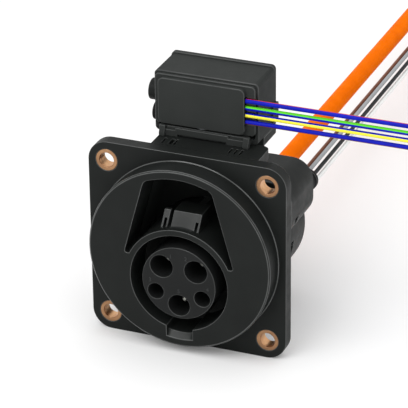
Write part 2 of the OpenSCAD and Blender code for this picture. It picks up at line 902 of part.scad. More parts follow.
module gland_nut() color(black_plastic) {
    cone_r = gland_thread_r + gland_nut_wall;
    difference() {
        at_mate() union() {
            rod_y(gland_nut_y, gland_nut_y + gland_nut_hex_l, gland_hex_r, $fn = 6);
            turned_y() polygon([
                [0, gland_nut_y + gland_nut_step], [cone_r, gland_nut_y + gland_nut_step],
                [cone_r, gland_nut_y + gland_nut_hex_l + gland_nut_step],
                [gland_mouth_r + gland_mouth_wall, gland_nut_end], [0, gland_nut_end]
            ]);
        }
        at_mate() rod_y(gland_nut_y - cut, gland_thread_end + slip_gap, gland_thread_r + running_gap);
        at_mate() rod_y(gland_thread_end, gland_nut_end - gland_mouth_t, gland_bore_r + gland_seal_step);
        at_mate() rod_y(gland_thread_end, gland_nut_end + cut, gland_mouth_r);
    }
}

module cable_seal() color(rubber)
    at_mate() tube_y(
        gland_thread_end + slip_gap, gland_nut_end - gland_mouth_t - running_gap,
        gland_bore_r + gland_seal_step - running_gap, cable_d / 2 + wire_gap
    );

module wire_grommet() color(rubber)
    translate([grommet_x, 0, grommet_z])
    difference() {
        union() {
            rod_y(rear_inner_y, rear_y + grommet_l, grommet_r);
            rod_y(rear_y, rear_y + grommet_foot_t, grommet_lip_r);
            rod_y(rear_y + grommet_l - grommet_lip_t, rear_y + grommet_l, grommet_lip_r);
        }
        for (p = sensor_offsets)
            translate([p[0], 0, p[1]])
            rod_y(rear_inner_y - cut, rear_y + grommet_l + cut, sensor_wire_d / 2 + wire_gap);
    }

// Actuator case, open at the front: lip under the cover, raised back rim, foot behind the lock block
module actuator_case() color(black_plastic) {
    difference() {
        union() {
            along_y(case_front_y, case_back_y)
                rounded_rect([case_x0, case_x1], [case_z0, case_z1], case_corner_r);
            along_y(case_back_y - back_rim_t, case_back_y)
                rounded_rect([case_x0, case_x1], [case_z0, case_z1 + back_rim_h], case_corner_r);
            box(lip_x, [case_front_y - lip_depth, case_front_y + cut], [case_z0, case_z0 + lip_h]);
            case_foot();
            box(
                [case_x1 - cut, case_x1 + ear_w], [case_back_y - ear_l, case_back_y],
                [case_z0 + ear_z[0], case_z0 + ear_z[1]]
            );
        }
        box(
            [case_x0 + case_wall, case_x1 - case_wall], [case_front_y - cut, case_back_y - case_wall],
            [case_floor_z, case_z1 - case_wall]
        );
        foot_hollow();
        translate([0, bolt_y, 0])
            along_z(case_z0 - cut, case_z0 + lip_h + cut) circle(r = bolt_d / 2 + running_gap);
        translate([0, shaft_y, shaft_z]) rod_x(case_x0 - cut, 0, shaft_d / 2 + running_gap);
        translate([0, vent_y, vent_z])
            rod_x(case_x0 - cut, case_x0 + case_wall + cut, vent_stem_r + press_gap);
    }
    shaft_bearing();
    bolt_guides();
    motor_cradle();
}

// Skirt behind the lock block, open below, with slanted lower corners
module foot_outline(side, z0) {
    x0 = case_x0 + foot_side + side;
    x1 = case_x1 - side;
    top = case_z0 - foot_drop + foot_chamfer;
    slant = top - z0;
    polygon([
        [x0, case_z0 + cut], [x0, top], [x0 + slant, z0], [x1 - slant, z0], [x1, top], [x1, case_z0 + cut]
    ]);
}

module case_foot() {
    along_y(block_back_y + slip_gap, case_back_y) foot_outline(0, case_z0 - foot_drop);
}

module foot_hollow() {
    intersection() {
        along_y(block_back_y + slip_gap + case_wall, case_back_y - case_wall)
            foot_outline(case_wall, case_z0 - foot_drop - cut);
        box([case_x0, case_x1], [case_front_y, case_back_y], [case_z0 - 2 * foot_drop, case_z0]);
    }
}

module shaft_bearing() {
    difference() {
        box(
            [bearing_x, bearing_x + bearing_t],
            [shaft_y - shaft_d / 2 - bearing_margin, shaft_y + shaft_d / 2 + bearing_margin],
            [case_floor_z - sink, shaft_z + shaft_d / 2 + bearing_margin]
        );
        translate([0, shaft_y, shaft_z])
            rod_x(bearing_x - cut, bearing_x + bearing_t + cut, shaft_d / 2 + running_gap);
    }
}

module bolt_guides() {
    for (side = [0, 1])
        mirror([side, 0, 0])
        box(
            [slider_w / 2 + guide_gap, slider_w / 2 + guide_gap + guide_w],
            [case_front_y + guide_front_gap, rack_line_y - guide_back_gap],
            [case_floor_z - sink, case_z1 - case_wall + sink]
        );
}

module motor_cradle() {
    for (x = [motor_x[0] + cradle_inset, motor_x[1] - cradle_inset - cradle_t])
        difference() {
            box(
                [x, x + cradle_t], [motor_y - cradle_w / 2, motor_y + cradle_w / 2],
                [case_floor_z - sink, motor_z - cradle_drop]
            );
            translate([0, motor_y, motor_z]) rod_x(x - cut, x + cradle_t + cut, motor_r + running_gap);
        }
}

// Cover: rim plate, raised panel and a hollow back that makes room for the drive
module actuator_cover() color(black_plastic)
    difference() {
        union() {
            along_y(case_front_y - rim_t, case_front_y)
                rounded_rect([case_x0 + rim_inset, case_x1 - rim_inset], [cover_z0, rim_z1], case_corner_r);
            along_y(panel_y, case_front_y - rim_t + sink)
                rounded_rect([panel_x0, cover_x1], [panel_z0, panel_z1], panel_corner_r);
        }
        box(
            [panel_x0 + panel_sides[0], cover_x1 - panel_sides[1]],
            [panel_y + panel_skin, case_front_y + cut],
            [panel_z0 + panel_sills[0], panel_z1 - panel_sills[1]]
        );
        box(
            [-1, 1] * (slider_w / 2 + slider_room[0]), [panel_y + panel_skin, case_front_y + cut],
            [cover_z0 - cut, panel_z0 + slider_room[1]]
        );
        wire_seal_block(press_gap, cut);
        at_actuator_wires() rod_x(cover_x1 - cut, case_x1, actuator_wire_d / 2 + wire_channel_gap);
    }

module at_actuator_wires() {
    for (i = [0 : 3])
        translate([0, wire_y, wire_z0 + i * actuator_wire_pitch])
        children();
}

// Block at the panel's right end; side widens it and out lengthens it to the back
module wire_seal_block(side, out) {
    half = actuator_wire_d / 2 + wire_seal_skin + side;
    box(
        [cover_x1 - wire_seal_l - side, cover_x1 + side], [wire_y - half, case_front_y + out],
        [wire_z0 - wire_seal_margin - side, wire_z0 + 3 * actuator_wire_pitch + wire_seal_margin + side]
    );
}

module wire_seal() color(rubber)
    difference() {
        wire_seal_block(0, 0);
        at_actuator_wires()
            rod_x(cover_x1 - wire_seal_l - cut, cover_x1 + cut, actuator_wire_d / 2 + wire_gap);
    }

// Cranked bar across the lip, raised in the middle and hooked at both ends
module retaining_bar() color(black_plastic) {
    z0 = roof_z;
    y0 = bar_y;
    y1 = bar_y + bar_t;
    foot_y = y0 - hook_l + hook_foot_l;
    box([bar_x[0], bar_step_x[0]], [y0, y1], [z0, z0 + bar_h]);
    translate([0, 0, bar_rise])
        box([bar_step_x[0] - bar_rise, bar_step_x[1] + bar_rise], [y0, y1], [z0, z0 + bar_h]);
    box([bar_step_x[1], bar_x[1]], [y0, y1], [z0, z0 + bar_h]);
    for (x = [bar_x[0], bar_x[1] - hook_w])
        translate([x, 0, 0])
        along_x(0, hook_w) polygon([
            [y1, z0], [foot_y, z0], [foot_y, z0 + hook_foot_h], [y0, z0 + hook_h], [y1, z0 + hook_h]
        ]);
}

module vent_plug() color(rubber)
    translate([0, vent_y, vent_z]) {
        rod_x(case_x0 - vent_head_t, case_x0, vent_head_r);
        rod_x(case_x0 - sink, case_x0 + case_wall, vent_stem_r);
    }

module bolt_seal() color(rubber)
    translate([0, bolt_y, 0])
    along_z(roof_z - bolt_seal_t, roof_z)
    difference() {
        circle(r = bolt_seal_r);
        circle(r = bolt_d / 2 + running_gap);
    }

// Motor: a can that is open at its end, the cap that closes it, and the rotor that turns in both
module drive_motor() color(steel)
    translate([0, motor_y, motor_z])
    difference() {
        union() {
            rod_x(motor_x[0], motor_x[1], motor_r);
            rod_x(motor_x[1] - cut, motor_x[1] + motor_boss_l, motor_boss_r);
        }
        rod_x(motor_x[0] - cut, motor_x[1] - motor_front_t, motor_r - motor_wall);
        rod_x(motor_x[0], motor_x[1] + motor_boss_l + cut, motor_shaft_r + running_gap);
    }

module motor_end_cap() color(inner_plastic)
    translate([0, motor_y, motor_z])
    difference() {
        rod_x(motor_x[0], motor_x[0] + motor_cap_t, motor_r - motor_wall - press_gap);
        rod_x(motor_x[0] + motor_cap_seat, motor_x[0] + motor_cap_t + cut, motor_shaft_r + running_gap);
    }

module motor_rotor() color(steel)
    translate([0, motor_y, motor_z]) {
        rod_x(
            motor_x[0] + motor_cap_t + rotor_end_gap, motor_x[1] - motor_front_t - rotor_end_gap,
            motor_r - motor_wall - rotor_gap
        );
        rod_x(motor_x[0] + motor_cap_seat + slip_gap, gear_x + gear_w + motor_tail, motor_shaft_r);
    }

module circuit_board() color("#1d5a34")
    box(
        [case_x0 + case_wall + board_margin, case_x1 - case_wall - board_margin],
        [case_back_y - case_wall - board_t, case_back_y - case_wall],
        [motor_z + motor_r + board_rise, case_z1 - case_wall - board_margin]
    );

module position_switch() color("#20242a")
    translate([switch_x, switch_y, case_floor_z]) {
        cube(switch_size);
        translate([switch_size[0], switch_lever_y, switch_size[2] - switch_lever_drop]) cube(switch_lever);
    }

module release_knob() color(black_plastic)
    translate([0, shaft_y, shaft_z])
    difference() {
        rod_x(case_x0 - knob_gap - knob_h, case_x0 - knob_gap, knob_d / 2);
        rod_x(case_x0 - knob_gap - knob_h + knob_cap_t, case_x0, shaft_d / 2 + press_gap);
        rod_x(
            case_x0 - knob_gap - knob_h - cut, case_x0 - knob_gap - knob_h + knob_recess_depth, knob_recess_r,
            $fn = 6
        );
    }

module drive_shaft() color(steel)
    translate([0, shaft_y, shaft_z])
    rod_x(case_x0 - knob_gap - knob_h + knob_cap_t, shaft_end_x, shaft_d / 2);

// Toothed wheel in Y and Z, with its first tooth at the given angle
module toothed(teeth, pitch_r, addendum, dedendum, phase) {
    pitch = 2 * PI * pitch_r / teeth;
    root_r = pitch_r - dedendum;
    tip_r = pitch_r + addendum;
    circle(r = root_r);
    for (k = [0 : teeth - 1])
        rotate(phase + 360 * k / teeth)
        polygon([
            [root_r - tooth_sink, -tooth_root * pitch], [tip_r, -tooth_tip * pitch],
            [tip_r, tooth_tip * pitch], [root_r - tooth_sink, tooth_root * pitch]
        ]);
}

module drive_gear() color(silver)
    translate([0, shaft_y, shaft_z])
    difference() {
        union() {
            along_x(-rack_pinion_w / 2, rack_pinion_w / 2)
                toothed(
                    rack_pinion_teeth, rack_pinion_r, rack_addendum, rack_dedendum,
                    180 / rack_pinion_teeth
                );
            rod_x(0, gear_x + gear_w, rack_pinion_r - rack_dedendum);
            along_x(gear_x, gear_x + gear_w)
                toothed(gear_teeth, gear_r, gear_addendum, gear_dedendum, motor_angle);
        }
        rod_x(-rack_pinion_w, gear_x + gear_w + cut, shaft_d / 2 + press_gap);
    }

module motor_pinion() color(steel)
    translate([0, motor_y, motor_z])
    difference() {
        along_x(gear_x, gear_x + gear_w)
            toothed(
                motor_pinion_teeth, motor_pinion_r, gear_addendum, gear_dedendum,
                motor_angle + 180 + 180 / motor_pinion_teeth
            );
        rod_x(gear_x - cut, gear_x + gear_w + cut, motor_shaft_r + press_gap);
    }

// Lock bolt: slider with a rack facing the shaft, and the pin that drops into the latch pocket
module lock_bolt() color(steel) {
    half = slider_w / 2;
    root_y = rack_line_y - rack_dedendum;
    tip_y = rack_line_y + rack_addendum;
    first = ceil((slider_z[0] - shaft_z) / rack_pitch + tooth_root);
    last = floor((slider_z[1] - shaft_z) / rack_pitch - tooth_root);
    box([-half, half], [slider_front_y, root_y], slider_z);
    translate([0, bolt_y, 0]) along_z(bolt_tip_z, slider_z[0] + sink) circle(r = bolt_d / 2);
    for (k = [first : last])
        translate([0, 0, shaft_z + k * rack_pitch])
        along_x(-half, half) polygon([
            [root_y - tooth_sink, -tooth_root * rack_pitch], [tip_y, -tooth_tip * rack_pitch],
            [tip_y, tooth_tip * rack_pitch], [root_y - tooth_sink, tooth_root * rack_pitch]
        ]);
}

module power_cable() color(cable_orange)
    translate([0, cable_y, mate_z])
    swept_tube(cable_route, cable_d / 2, [1, 0, 0], cable_sides);

module power_cable_coil() color(cable_orange)
    coil([cable_coil_r, cable_coil_y], cable_coil_r - cable_d / 2, [2 * cable_d, cable_d]);

// The wires leave the grommet at their own places, and come down side by side into the coil's lanes
module sensor_wire(index) {
    p = sensor_offsets[index];
    lane = (index - 1.5) * sensor_lane;
    route = [
        for (r = sensor_route)
            let (down = r[2] / sensor_drop, side = min(1, 2 * down))
            r + [p[0] + side * (lane - p[0]), 0, (1 - down) * p[1]]
    ];
    translate([grommet_x, sensor_start_y, grommet_z])
    swept_tube(route, sensor_wire_d / 2, [1, 0, 0], wire_sides);
}

module sensor_wire_brown() color("#5a3524") sensor_wire(0);

module sensor_wire_grey() color("#9a9c9e") sensor_wire(1);

module sensor_wire_black() color("#1e2022") sensor_wire(2);

module sensor_wire_white() color("#f2f2f0") sensor_wire(3);

module sensor_wire_coil() color("#9a9c9e")
    coil([grommet_x + sensor_coil_r, sensor_coil_y], sensor_coil_r, sensor_coil_section);

// Each higher wire bends a little further out, and all come down side by side into the coil's lanes
module actuator_wire(index) {
    lane = (index - 1.5) * actuator_lane;
    route = [
        for (r = actuator_route)
            let (down = r[2] / actuator_drop, fan = r[0] > actuator_bend_x ? index * actuator_fan : 0)
            r + [fan, down * lane, (1 - down) * index * actuator_wire_pitch]
    ];
    translate([actuator_start_x, wire_y, wire_z0])
    swept_tube(route, actuator_wire_d / 2, [0, 1, 0], wire_sides);
}

module actuator_wire_red() color(wire_blue) actuator_wire(3);

module actuator_wire_green() color(wire_blue) actuator_wire(2);

module actuator_wire_yellow() color(wire_blue) actuator_wire(1);

module actuator_wire_brown() color(wire_blue) actuator_wire(0);

module actuator_wire_coil() color(wire_blue)
    coil([actuator_coil_x, wire_y + actuator_coil_r], actuator_coil_r, actuator_coil_section);

front_housing();
mounting_flange();
mounting_bushings();
socket_barrel();
lock_block();
contact_insert();
contact_carrier();
power_pins();
earth_pin();
signal_pins();
contact_retainer();
retainer_screws();
temperature_sensor();
rear_housing();
housing_seal();
gland_body();
gland_nut();
cable_seal();
wire_grommet();
actuator_case();
actuator_cover();
wire_seal();
retaining_bar();
vent_plug();
bolt_seal();
drive_motor();
motor_end_cap();
motor_rotor();
circuit_board();
position_switch();
release_knob();
drive_shaft();
drive_gear();
motor_pinion();
lock_bolt();
power_cable();
power_cable_coil();
sensor_wire_brown();
sensor_wire_grey();
sensor_wire_black();
sensor_wire_white();
sensor_wire_coil();
actuator_wire_red();
actuator_wire_green();
actuator_wire_yellow();
actuator_wire_brown();
actuator_wire_coil();
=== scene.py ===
"""Charge port inlet: finishes, leads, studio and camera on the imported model."""

import logging
import math
from dataclasses import dataclass, field
from enum import Enum
from functools import lru_cache
from typing import Iterable, Optional, Sequence

import bmesh
import bpy
from mathutils import Matrix, Vector


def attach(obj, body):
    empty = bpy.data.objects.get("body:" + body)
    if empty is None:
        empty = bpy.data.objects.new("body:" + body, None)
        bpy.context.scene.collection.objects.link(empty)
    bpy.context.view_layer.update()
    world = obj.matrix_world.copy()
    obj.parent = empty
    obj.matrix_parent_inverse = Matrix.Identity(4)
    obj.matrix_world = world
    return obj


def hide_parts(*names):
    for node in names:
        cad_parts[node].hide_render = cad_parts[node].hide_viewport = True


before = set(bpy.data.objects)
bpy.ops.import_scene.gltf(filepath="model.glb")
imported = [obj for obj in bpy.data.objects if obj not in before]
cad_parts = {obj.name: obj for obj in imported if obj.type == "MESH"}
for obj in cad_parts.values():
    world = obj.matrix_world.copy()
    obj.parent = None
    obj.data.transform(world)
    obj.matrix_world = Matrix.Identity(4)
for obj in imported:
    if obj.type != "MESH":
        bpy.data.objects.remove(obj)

LOG = logging.getLogger("charge_port_inlet")
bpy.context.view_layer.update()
MM = 0.001
IMAGE_PX = 408
BASE = "base"
GROUND_Z = -45 * MM
FLANGE_T = 6 * MM

GLOSS_SCALE = 220.0
# Noise that breaks up the painted highlight and painted shade along their length.
PAINTED_LIGHT_BREAK_SCALE = 90.0
PAINTED_LIGHT_BREAK_LEAST = 0.55
TARNISH_SCALE = 300.0
LINE_STRETCH = (1.0, 0.08, 1.0)
PORE_REACH = 0.35

Colour = tuple[float, float, float, float]


def srgb(red: int, green: int, blue: int) -> Colour:
    """Turns a colour of 0 to 255 a channel into the linear colour that a shader takes.

    Args:
        red: Red channel.
        green: Green channel.
        blue: Blue channel.

    Returns:
        The linear colour with an alpha of 1.
    """
    channels = [value / 255 for value in (red, green, blue)]
    linear = [c / 12.92 if c <= 0.04045 else ((c + 0.055) / 1.055) ** 2.4 for c in channels]
    return (*linear, 1.0)


def add_object(name: str, data: bpy.types.ID) -> bpy.types.Object:
    """Makes an object of a mesh or curve at the origin and links it to the scene.

    Args:
        name: The object's name.
        data: Its mesh or curve, in the shared frame.

    Returns:
        The new object.
    """
    piece = bpy.data.objects.new(name, data)
    bpy.context.scene.collection.objects.link(piece)
    return piece


def mesh_from(bm: bmesh.types.BMesh, name: str) -> bpy.types.Mesh:
    """Writes a bmesh into a new mesh and frees it.

    Args:
        bm: The bmesh.
        name: The new mesh's name.

    Returns:
        The mesh.
    """
    mesh = bpy.data.meshes.new(name)
    bm.to_mesh(mesh)
    bm.free()
    return mesh


class Tree:
    """A node tree with short calls that add and join its nodes."""

    COLOUR_A, COLOUR_B, COLOUR_RESULT = 6, 7, 2
    VALUE_A, VALUE_B, VALUE_RESULT = 2, 3, 0

    def __init__(self, tree: bpy.types.NodeTree) -> None:
        """Keeps the tree and clears it.

        Args:
            tree: The tree of a material, world or group.
        """
        self.tree = tree
        self.tree.nodes.clear()

    def add(self, kind: str, **settings: object) -> bpy.types.Node:
        """Adds a node and sets its properties.

        Args:
            kind: The node's type, without the ShaderNode prefix.
            **settings: Properties of the node.

        Returns:
            The node.
        """
        prefix = "" if kind.startswith("NodeGroup") else "ShaderNode"
        node = self.tree.nodes.new(prefix + kind)
        for key, value in settings.items():
            setattr(node, key, value)
        return node

    def link(self, source: bpy.types.NodeSocket, target: bpy.types.NodeSocket) -> None:
        """Joins an output to an input.

        Args:
            source: The output.
            target: The input.
        """
        self.tree.links.new(source, target)

    def noise(self, vector: bpy.types.NodeSocket, scale: float, detail: float = 2.0) -> bpy.types.NodeSocket:
        """Adds a noise texture.

        Args:
            vector: Where the texture is read.
            scale: Features a metre.
            detail: Octaves.

        Returns:
            The texture's value.
        """
        node = self.add("TexNoise")
        node.inputs["Scale"].default_value = scale
        node.inputs["Detail"].default_value = detail
        self.link(vector, node.inputs["Vector"])
        return node.outputs["Fac"]

    def spread(self, value: bpy.types.NodeSocket, low: float, high: float,
               start: float = 0.3, end: float = 0.7) -> bpy.types.NodeSocket:
        """Spreads a texture's value over a range.

        Args:
            value: The value.
            low: Result at start.
            high: Result at end.
            start: The value that gives low.
            end: The value that gives high.

        Returns:
            The mapped value.
        """
        node = self.add("MapRange")
        for name, number in (("From Min", start), ("From Max", end), ("To Min", low), ("To Max", high)):
            node.inputs[name].default_value = number
        self.link(value, node.inputs["Value"])
        return node.outputs["Result"]

    def math(self, operation: str, first: bpy.types.NodeSocket, second: object) -> bpy.types.NodeSocket:
        """Adds a Math node of two values.

        Args:
            operation: The node's operation.
            first: The first value.
            second: The second value, a socket or a number.

        Returns:
            The result.
        """
        node = self.add("Math", operation=operation)
        self.link(first, node.inputs[0])
        if isinstance(second, (int, float)):
            node.inputs[1].default_value = second
        else:
            self.link(second, node.inputs[1])
        return node.outputs[0]

    def mix(self, factor: bpy.types.NodeSocket, first: object, second: object) -> bpy.types.NodeSocket:
        """Mixes two colours.

        Args:
            factor: Share of the second colour.
            first: A colour or a socket.
            second: A colour or a socket.

        Returns:
            The mixed colour.
        """
        node = self.add("Mix", data_type="RGBA")
        self.link(factor, node.inputs["Factor"])
        for socket, value in ((node.inputs[self.COLOUR_A], first), (node.inputs[self.COLOUR_B], second)):
            if isinstance(value, bpy.types.NodeSocket):
                self.link(value, socket)
            else:
                socket.default_value = value
        return node.outputs[self.COLOUR_RESULT]

    def blend(self, factor: bpy.types.NodeSocket, first: bpy.types.NodeSocket, second: float) -> bpy.types.NodeSocket:
        """Mixes a value with a number.

        Args:
            factor: Share of the number.
            first: The value.
            second: The number.

        Returns:
            The mixed value.
        """
        node = self.add("Mix", data_type="FLOAT")
        self.link(factor, node.inputs[0])
        self.link(first, node.inputs[self.VALUE_A])
        node.inputs[self.VALUE_B].default_value = second
        return node.outputs[self.VALUE_RESULT]


def new_group(name: str, inputs: Sequence[tuple[str, str, float]], outputs: Sequence[str]
              ) -> tuple[Tree, bpy.types.Node, bpy.types.Node]:
    """Starts a shader node group.

    Args:
        name: The group's name.
        inputs: Name, socket type and default of each input.
        outputs: Names of the outputs, all values.

    Returns:
        The group's tree, its input node and its output node.
    """
    group = bpy.data.node_groups.new(name, "ShaderNodeTree")
    tree = Tree(group)
    for label, kind, default in inputs:
        socket = group.interface.new_socket(name=label, in_out="INPUT", socket_type=kind)
        if kind == "NodeSocketFloat":
            socket.default_value = default
    for label in outputs:
        group.interface.new_socket(name=label, in_out="OUTPUT", socket_type="NodeSocketFloat")
    return tree, tree.add("NodeGroupInput"), tree.add("NodeGroupOutput")


@lru_cache(maxsize=None)
def moulded_grain() -> bpy.types.NodeTree:
    """Builds the group for a moulded or extruded skin: fine grain, and slow changes of tone and gloss.

    Returns:
        The node group.
    """
    tree, given, made = new_group(
        "moulded_grain",
        [("Vector", "NodeSocketVector", 0.0), ("Grain", "NodeSocketFloat", 3500.0),
         ("Blotch", "NodeSocketFloat", 60.0)],
        ["Height", "Tone", "Gloss"],
    )
    vector = given.outputs["Vector"]
    for label, scale, detail in (("Height", "Grain", 3.0), ("Tone", "Blotch", 4.0)):
        noise = tree.add("TexNoise")
        noise.inputs["Detail"].default_value = detail
        tree.link(vector, noise.inputs["Vector"])
        tree.link(given.outputs[scale], noise.inputs["Scale"])
        tree.link(noise.outputs["Fac"], made.inputs[label])
    tree.link(tree.noise(vector, GLOSS_SCALE, 3.0), made.inputs["Gloss"])
    return tree.tree


@lru_cache(maxsize=None)
def painted_light_mask() -> bpy.types.NodeTree:
    """Builds the group that marks where painted light goes (lighter edges as a painted highlight, darker faces as a
    painted shade), broken up along their length.

    Returns:
        The node group.
    """
    tree, given, made = new_group(
        "painted_light_mask",
        [("Vector", "NodeSocketVector", 0.0), ("Amount", "NodeSocketFloat", 1.0)],
        ["Mask"],
    )
    rim = tree.add("Attribute", attribute_name=Softened.EDGE)
    broken = tree.spread(tree.noise(given.outputs["Vector"], PAINTED_LIGHT_BREAK_SCALE, 3.0), PAINTED_LIGHT_BREAK_LEAST, 1.0)
    light_paint = tree.math("MULTIPLY", rim.outputs["Fac"], broken)
    tree.link(tree.math("MULTIPLY", light_paint, given.outputs["Amount"]), made.inputs["Mask"])
    return tree.tree


@lru_cache(maxsize=None)
def metal_grain() -> bpy.types.NodeTree:
    """Builds the group for pressed and turned metal: pores, and fine lines round the Y axis.

    Returns:
        The node group.
    """
    tree, given, made = new_group(
        "metal_grain",
        [("Vector", "NodeSocketVector", 0.0), ("Pores", "NodeSocketFloat", 1500.0),
         ("Lines", "NodeSocketFloat", 6000.0)],
        ["Height", "Tone"],
    )
    vector = given.outputs["Vector"]
    pores = tree.add("TexVoronoi")
    tree.link(vector, pores.inputs["Vector"])
    tree.link(given.outputs["Pores"], pores.inputs["Scale"])
    lines = tree.add("TexNoise")
    lines.inputs["Detail"].default_value = 1.0
    stretch = tree.add("VectorMath", operation="MULTIPLY")
    stretch.inputs[1].default_value = LINE_STRETCH
    tree.link(vector, stretch.inputs[0])
    tree.link(stretch.outputs[0], lines.inputs["Vector"])
    tree.link(given.outputs["Lines"], lines.inputs["Scale"])
    pit = tree.spread(pores.outputs["Distance"], 0.0, 1.0, 0.0, PORE_REACH)
    tree.link(tree.math("ADD", pit, lines.outputs["Fac"]), made.inputs["Height"])
    tree.link(tree.noise(vector, TARNISH_SCALE, 4.0), made.inputs["Tone"])
    return tree.tree


class Finish:
    """A procedural material that is built once and shared by the pieces that have it."""

    name: str

    def material(self) -> bpy.types.Material:
        """Gives the finish's material, built on its first use.

        Returns:
            The material.
        """
        made = bpy.data.materials.get(self.label())
        return made if made is not None else self.build()

    def label(self) -> str:
        """Gives the material's name, apart from that of the record's slot.

        Returns:
            The name.
        """
        return self.name + "_finish"

    def build(self) -> bpy.types.Material:
        """Builds the material.

        Returns:
            The material.
        """
        raise NotImplementedError

    def start(self) -> tuple[Tree, bpy.types.Node, bpy.types.NodeSocket, bpy.types.Material]:
        """Makes an empty material with one Principled shader.

        Returns:
            The tree, the shader, Object coordinates and the material.
        """
        material = bpy.data.materials.new(self.label())
        material.use_nodes = True
        tree = Tree(material.node_tree)
        shader = tree.add("BsdfPrincipled")
        tree.link(shader.outputs["BSDF"], tree.add("OutputMaterial").inputs["Surface"])
        return tree, shader, tree.add("TexCoord").outputs["Object"], material

    @staticmethod
    def grouped(tree: Tree, group: bpy.types.NodeTree, vector: bpy.types.NodeSocket,
                **values: float) -> bpy.types.Node:
        """Places a node group in a material.

        Args:
            tree: The material's tree.
            group: The group.
            vector: Where its textures are read.
            **values: The group's other inputs.

        Returns:
            The group's node.
        """
        node = tree.add("Group", node_tree=group)
        tree.link(vector, node.inputs["Vector"])
        for key, value in values.items():
            node.inputs[key.capitalize()].default_value = value
        return node

    @staticmethod
    def bump(tree: Tree, shader: bpy.types.Node, height: bpy.types.NodeSocket, depth: float) -> None:
        """Feeds a height to the shader's normal.

        Args:
            tree: The material's tree.
            shader: The Principled shader.
            height: The height, 0 to 1.
            depth: What 1 means, in metres.
        """
        node = tree.add("Bump")
        node.inputs["Distance"].default_value = depth
        tree.link(height, node.inputs["Height"])
        tree.link(node.outputs["Normal"], shader.inputs["Normal"])


@dataclass(frozen=True)
class Plastic(Finish):
    """Moulded plastic or rubber with a fine grain, and edges lightened in colour as a painted highlight and made
    glossier.
    """

    name: str
    dark: Colour
    light: Colour
    # Lighter colour of the marked edges and ramp faces: a painted highlight.
    edge: Colour
    roughness: tuple[float, float]
    specular: float = 0.4
    grain: float = 3500.0
    grain_depth: float = 0.00003
    edge_amount: float = 1.0
    edge_roughness: float = 0.24
    edge_coat: float = 0.6
    variant: str = ""

    def label(self) -> str:
        """Gives the material's name, apart from those of the slot and its other finishes.

        Returns:
            The name.
        """
        return f"{self.name}{self.variant}_finish"

    def build(self) -> bpy.types.Material:
        """Builds the material.

        Returns:
            The material.
        """
        tree, shader, vector, material = self.start()
        skin = self.grouped(tree, moulded_grain(), vector, grain=self.grain)
        light_paint = self.grouped(tree, painted_light_mask(), vector, amount=self.edge_amount)
        tone = tree.mix(tree.spread(skin.outputs["Tone"], 0.0, 1.0), self.dark, self.light)
        # Painted highlight: the marked edges and ramp faces take the lighter edge colour.
        mask = light_paint.outputs["Mask"]
        tree.link(tree.mix(mask, tone, self.edge), shader.inputs["Base Color"])
        gloss = tree.spread(skin.outputs["Gloss"], *self.roughness)
        tree.link(tree.blend(mask, gloss, self.edge_roughness), shader.inputs["Roughness"])
        tree.link(tree.math("MULTIPLY", mask, self.edge_coat), shader.inputs["Coat Weight"])
        shader.inputs["Coat Roughness"].default_value = self.edge_roughness
        shader.inputs["Specular IOR Level"].default_value = self.specular
        self.bump(tree, shader, skin.outputs["Height"], self.grain_depth)
        return material


@dataclass(frozen=True)
class Metal(Finish):
    """Pressed, plated or turned metal."""

    name: str
    dark: Colour
    light: Colour
    roughness: tuple[float, float]
    pores: float = 1500.0
    depth: float = 0.00002
    # Darker colour of the marked front faces and bevels: a painted shade.
    face: Optional[Colour] = None
    ROUGH_FROM = 0.3
    ROUGH_TO = 1.4

    def build(self) -> bpy.types.Material:
        """Builds the material.

        Returns:
            The material.
        """
        tree, shader, vector, material = self.start()
        grain = self.grouped(tree, metal_grain(), vector, pores=self.pores)
        tone = tree.spread(grain.outputs["Tone"], 0.0, 1.0)
        colour = tree.mix(tone, self.dark, self.light)
        # Painted shade: the marked front faces and bevels take the darker face colour.
        if self.face is not None:
            light_paint = self.grouped(tree, painted_light_mask(), vector, amount=1.0)
            colour = tree.mix(light_paint.outputs["Mask"], colour, self.face)
        tree.link(colour, shader.inputs["Base Color"])
        gloss = tree.spread(grain.outputs["Height"], *self.roughness, self.ROUGH_FROM, self.ROUGH_TO)
        tree.link(gloss, shader.inputs["Roughness"])
        shader.inputs["Metallic"].default_value = 1.0
        self.bump(tree, shader, grain.outputs["Height"], self.depth)
        return material


@dataclass(frozen=True)
class Insulation(Finish):
    """Extruded insulation of a lead, with an optional coloured stripe along it."""

    name: str
    colour: Colour
    shade: Colour
    stripe: Optional[Colour] = None
    stripe_from: float = 0.0
    stripe_to: float = 0.0
    roughness: tuple[float, float] = (0.42, 0.55)
    specular: float = 0.15
    grain: float = 1400.0
    blotch: float = 140.0
    depth: float = 0.00002

    def build(self) -> bpy.types.Material:
        """Builds the material.

        Returns:
            The material.
        """
        tree, shader, vector, material = self.start()
        skin = self.grouped(tree, moulded_grain(), vector, grain=self.grain, blotch=self.blotch)
        colour = tree.mix(tree.spread(skin.outputs["Tone"], 0.0, 1.0), self.shade, self.colour)
        if self.stripe is not None:
            colour = tree.mix(self.stripe_mask(tree), colour, self.stripe)
        tree.link(colour, shader.inputs["Base Color"])
        tree.link(tree.spread(skin.outputs["Gloss"], *self.roughness), shader.inputs["Roughness"])
        shader.inputs["Specular IOR Level"].default_value = self.specular
        self.bump(tree, shader, skin.outputs["Height"], self.depth)
        return material

    def stripe_mask(self, tree: Tree) -> bpy.types.NodeSocket:
        """Marks the stripe from the piece's own UV map, whose V runs round the lead.

        Args:
            tree: The material's tree.

        Returns:
            The mask.
        """
        uv = tree.add("UVMap", uv_map=Lead.UV)
        split = tree.add("SeparateXYZ")
        tree.link(uv.outputs["UV"], split.inputs["Vector"])
        after = tree.math("GREATER_THAN", split.outputs["Y"], self.stripe_from)
        return tree.math("MULTIPLY", after, tree.math("LESS_THAN", split.outputs["Y"], self.stripe_to))


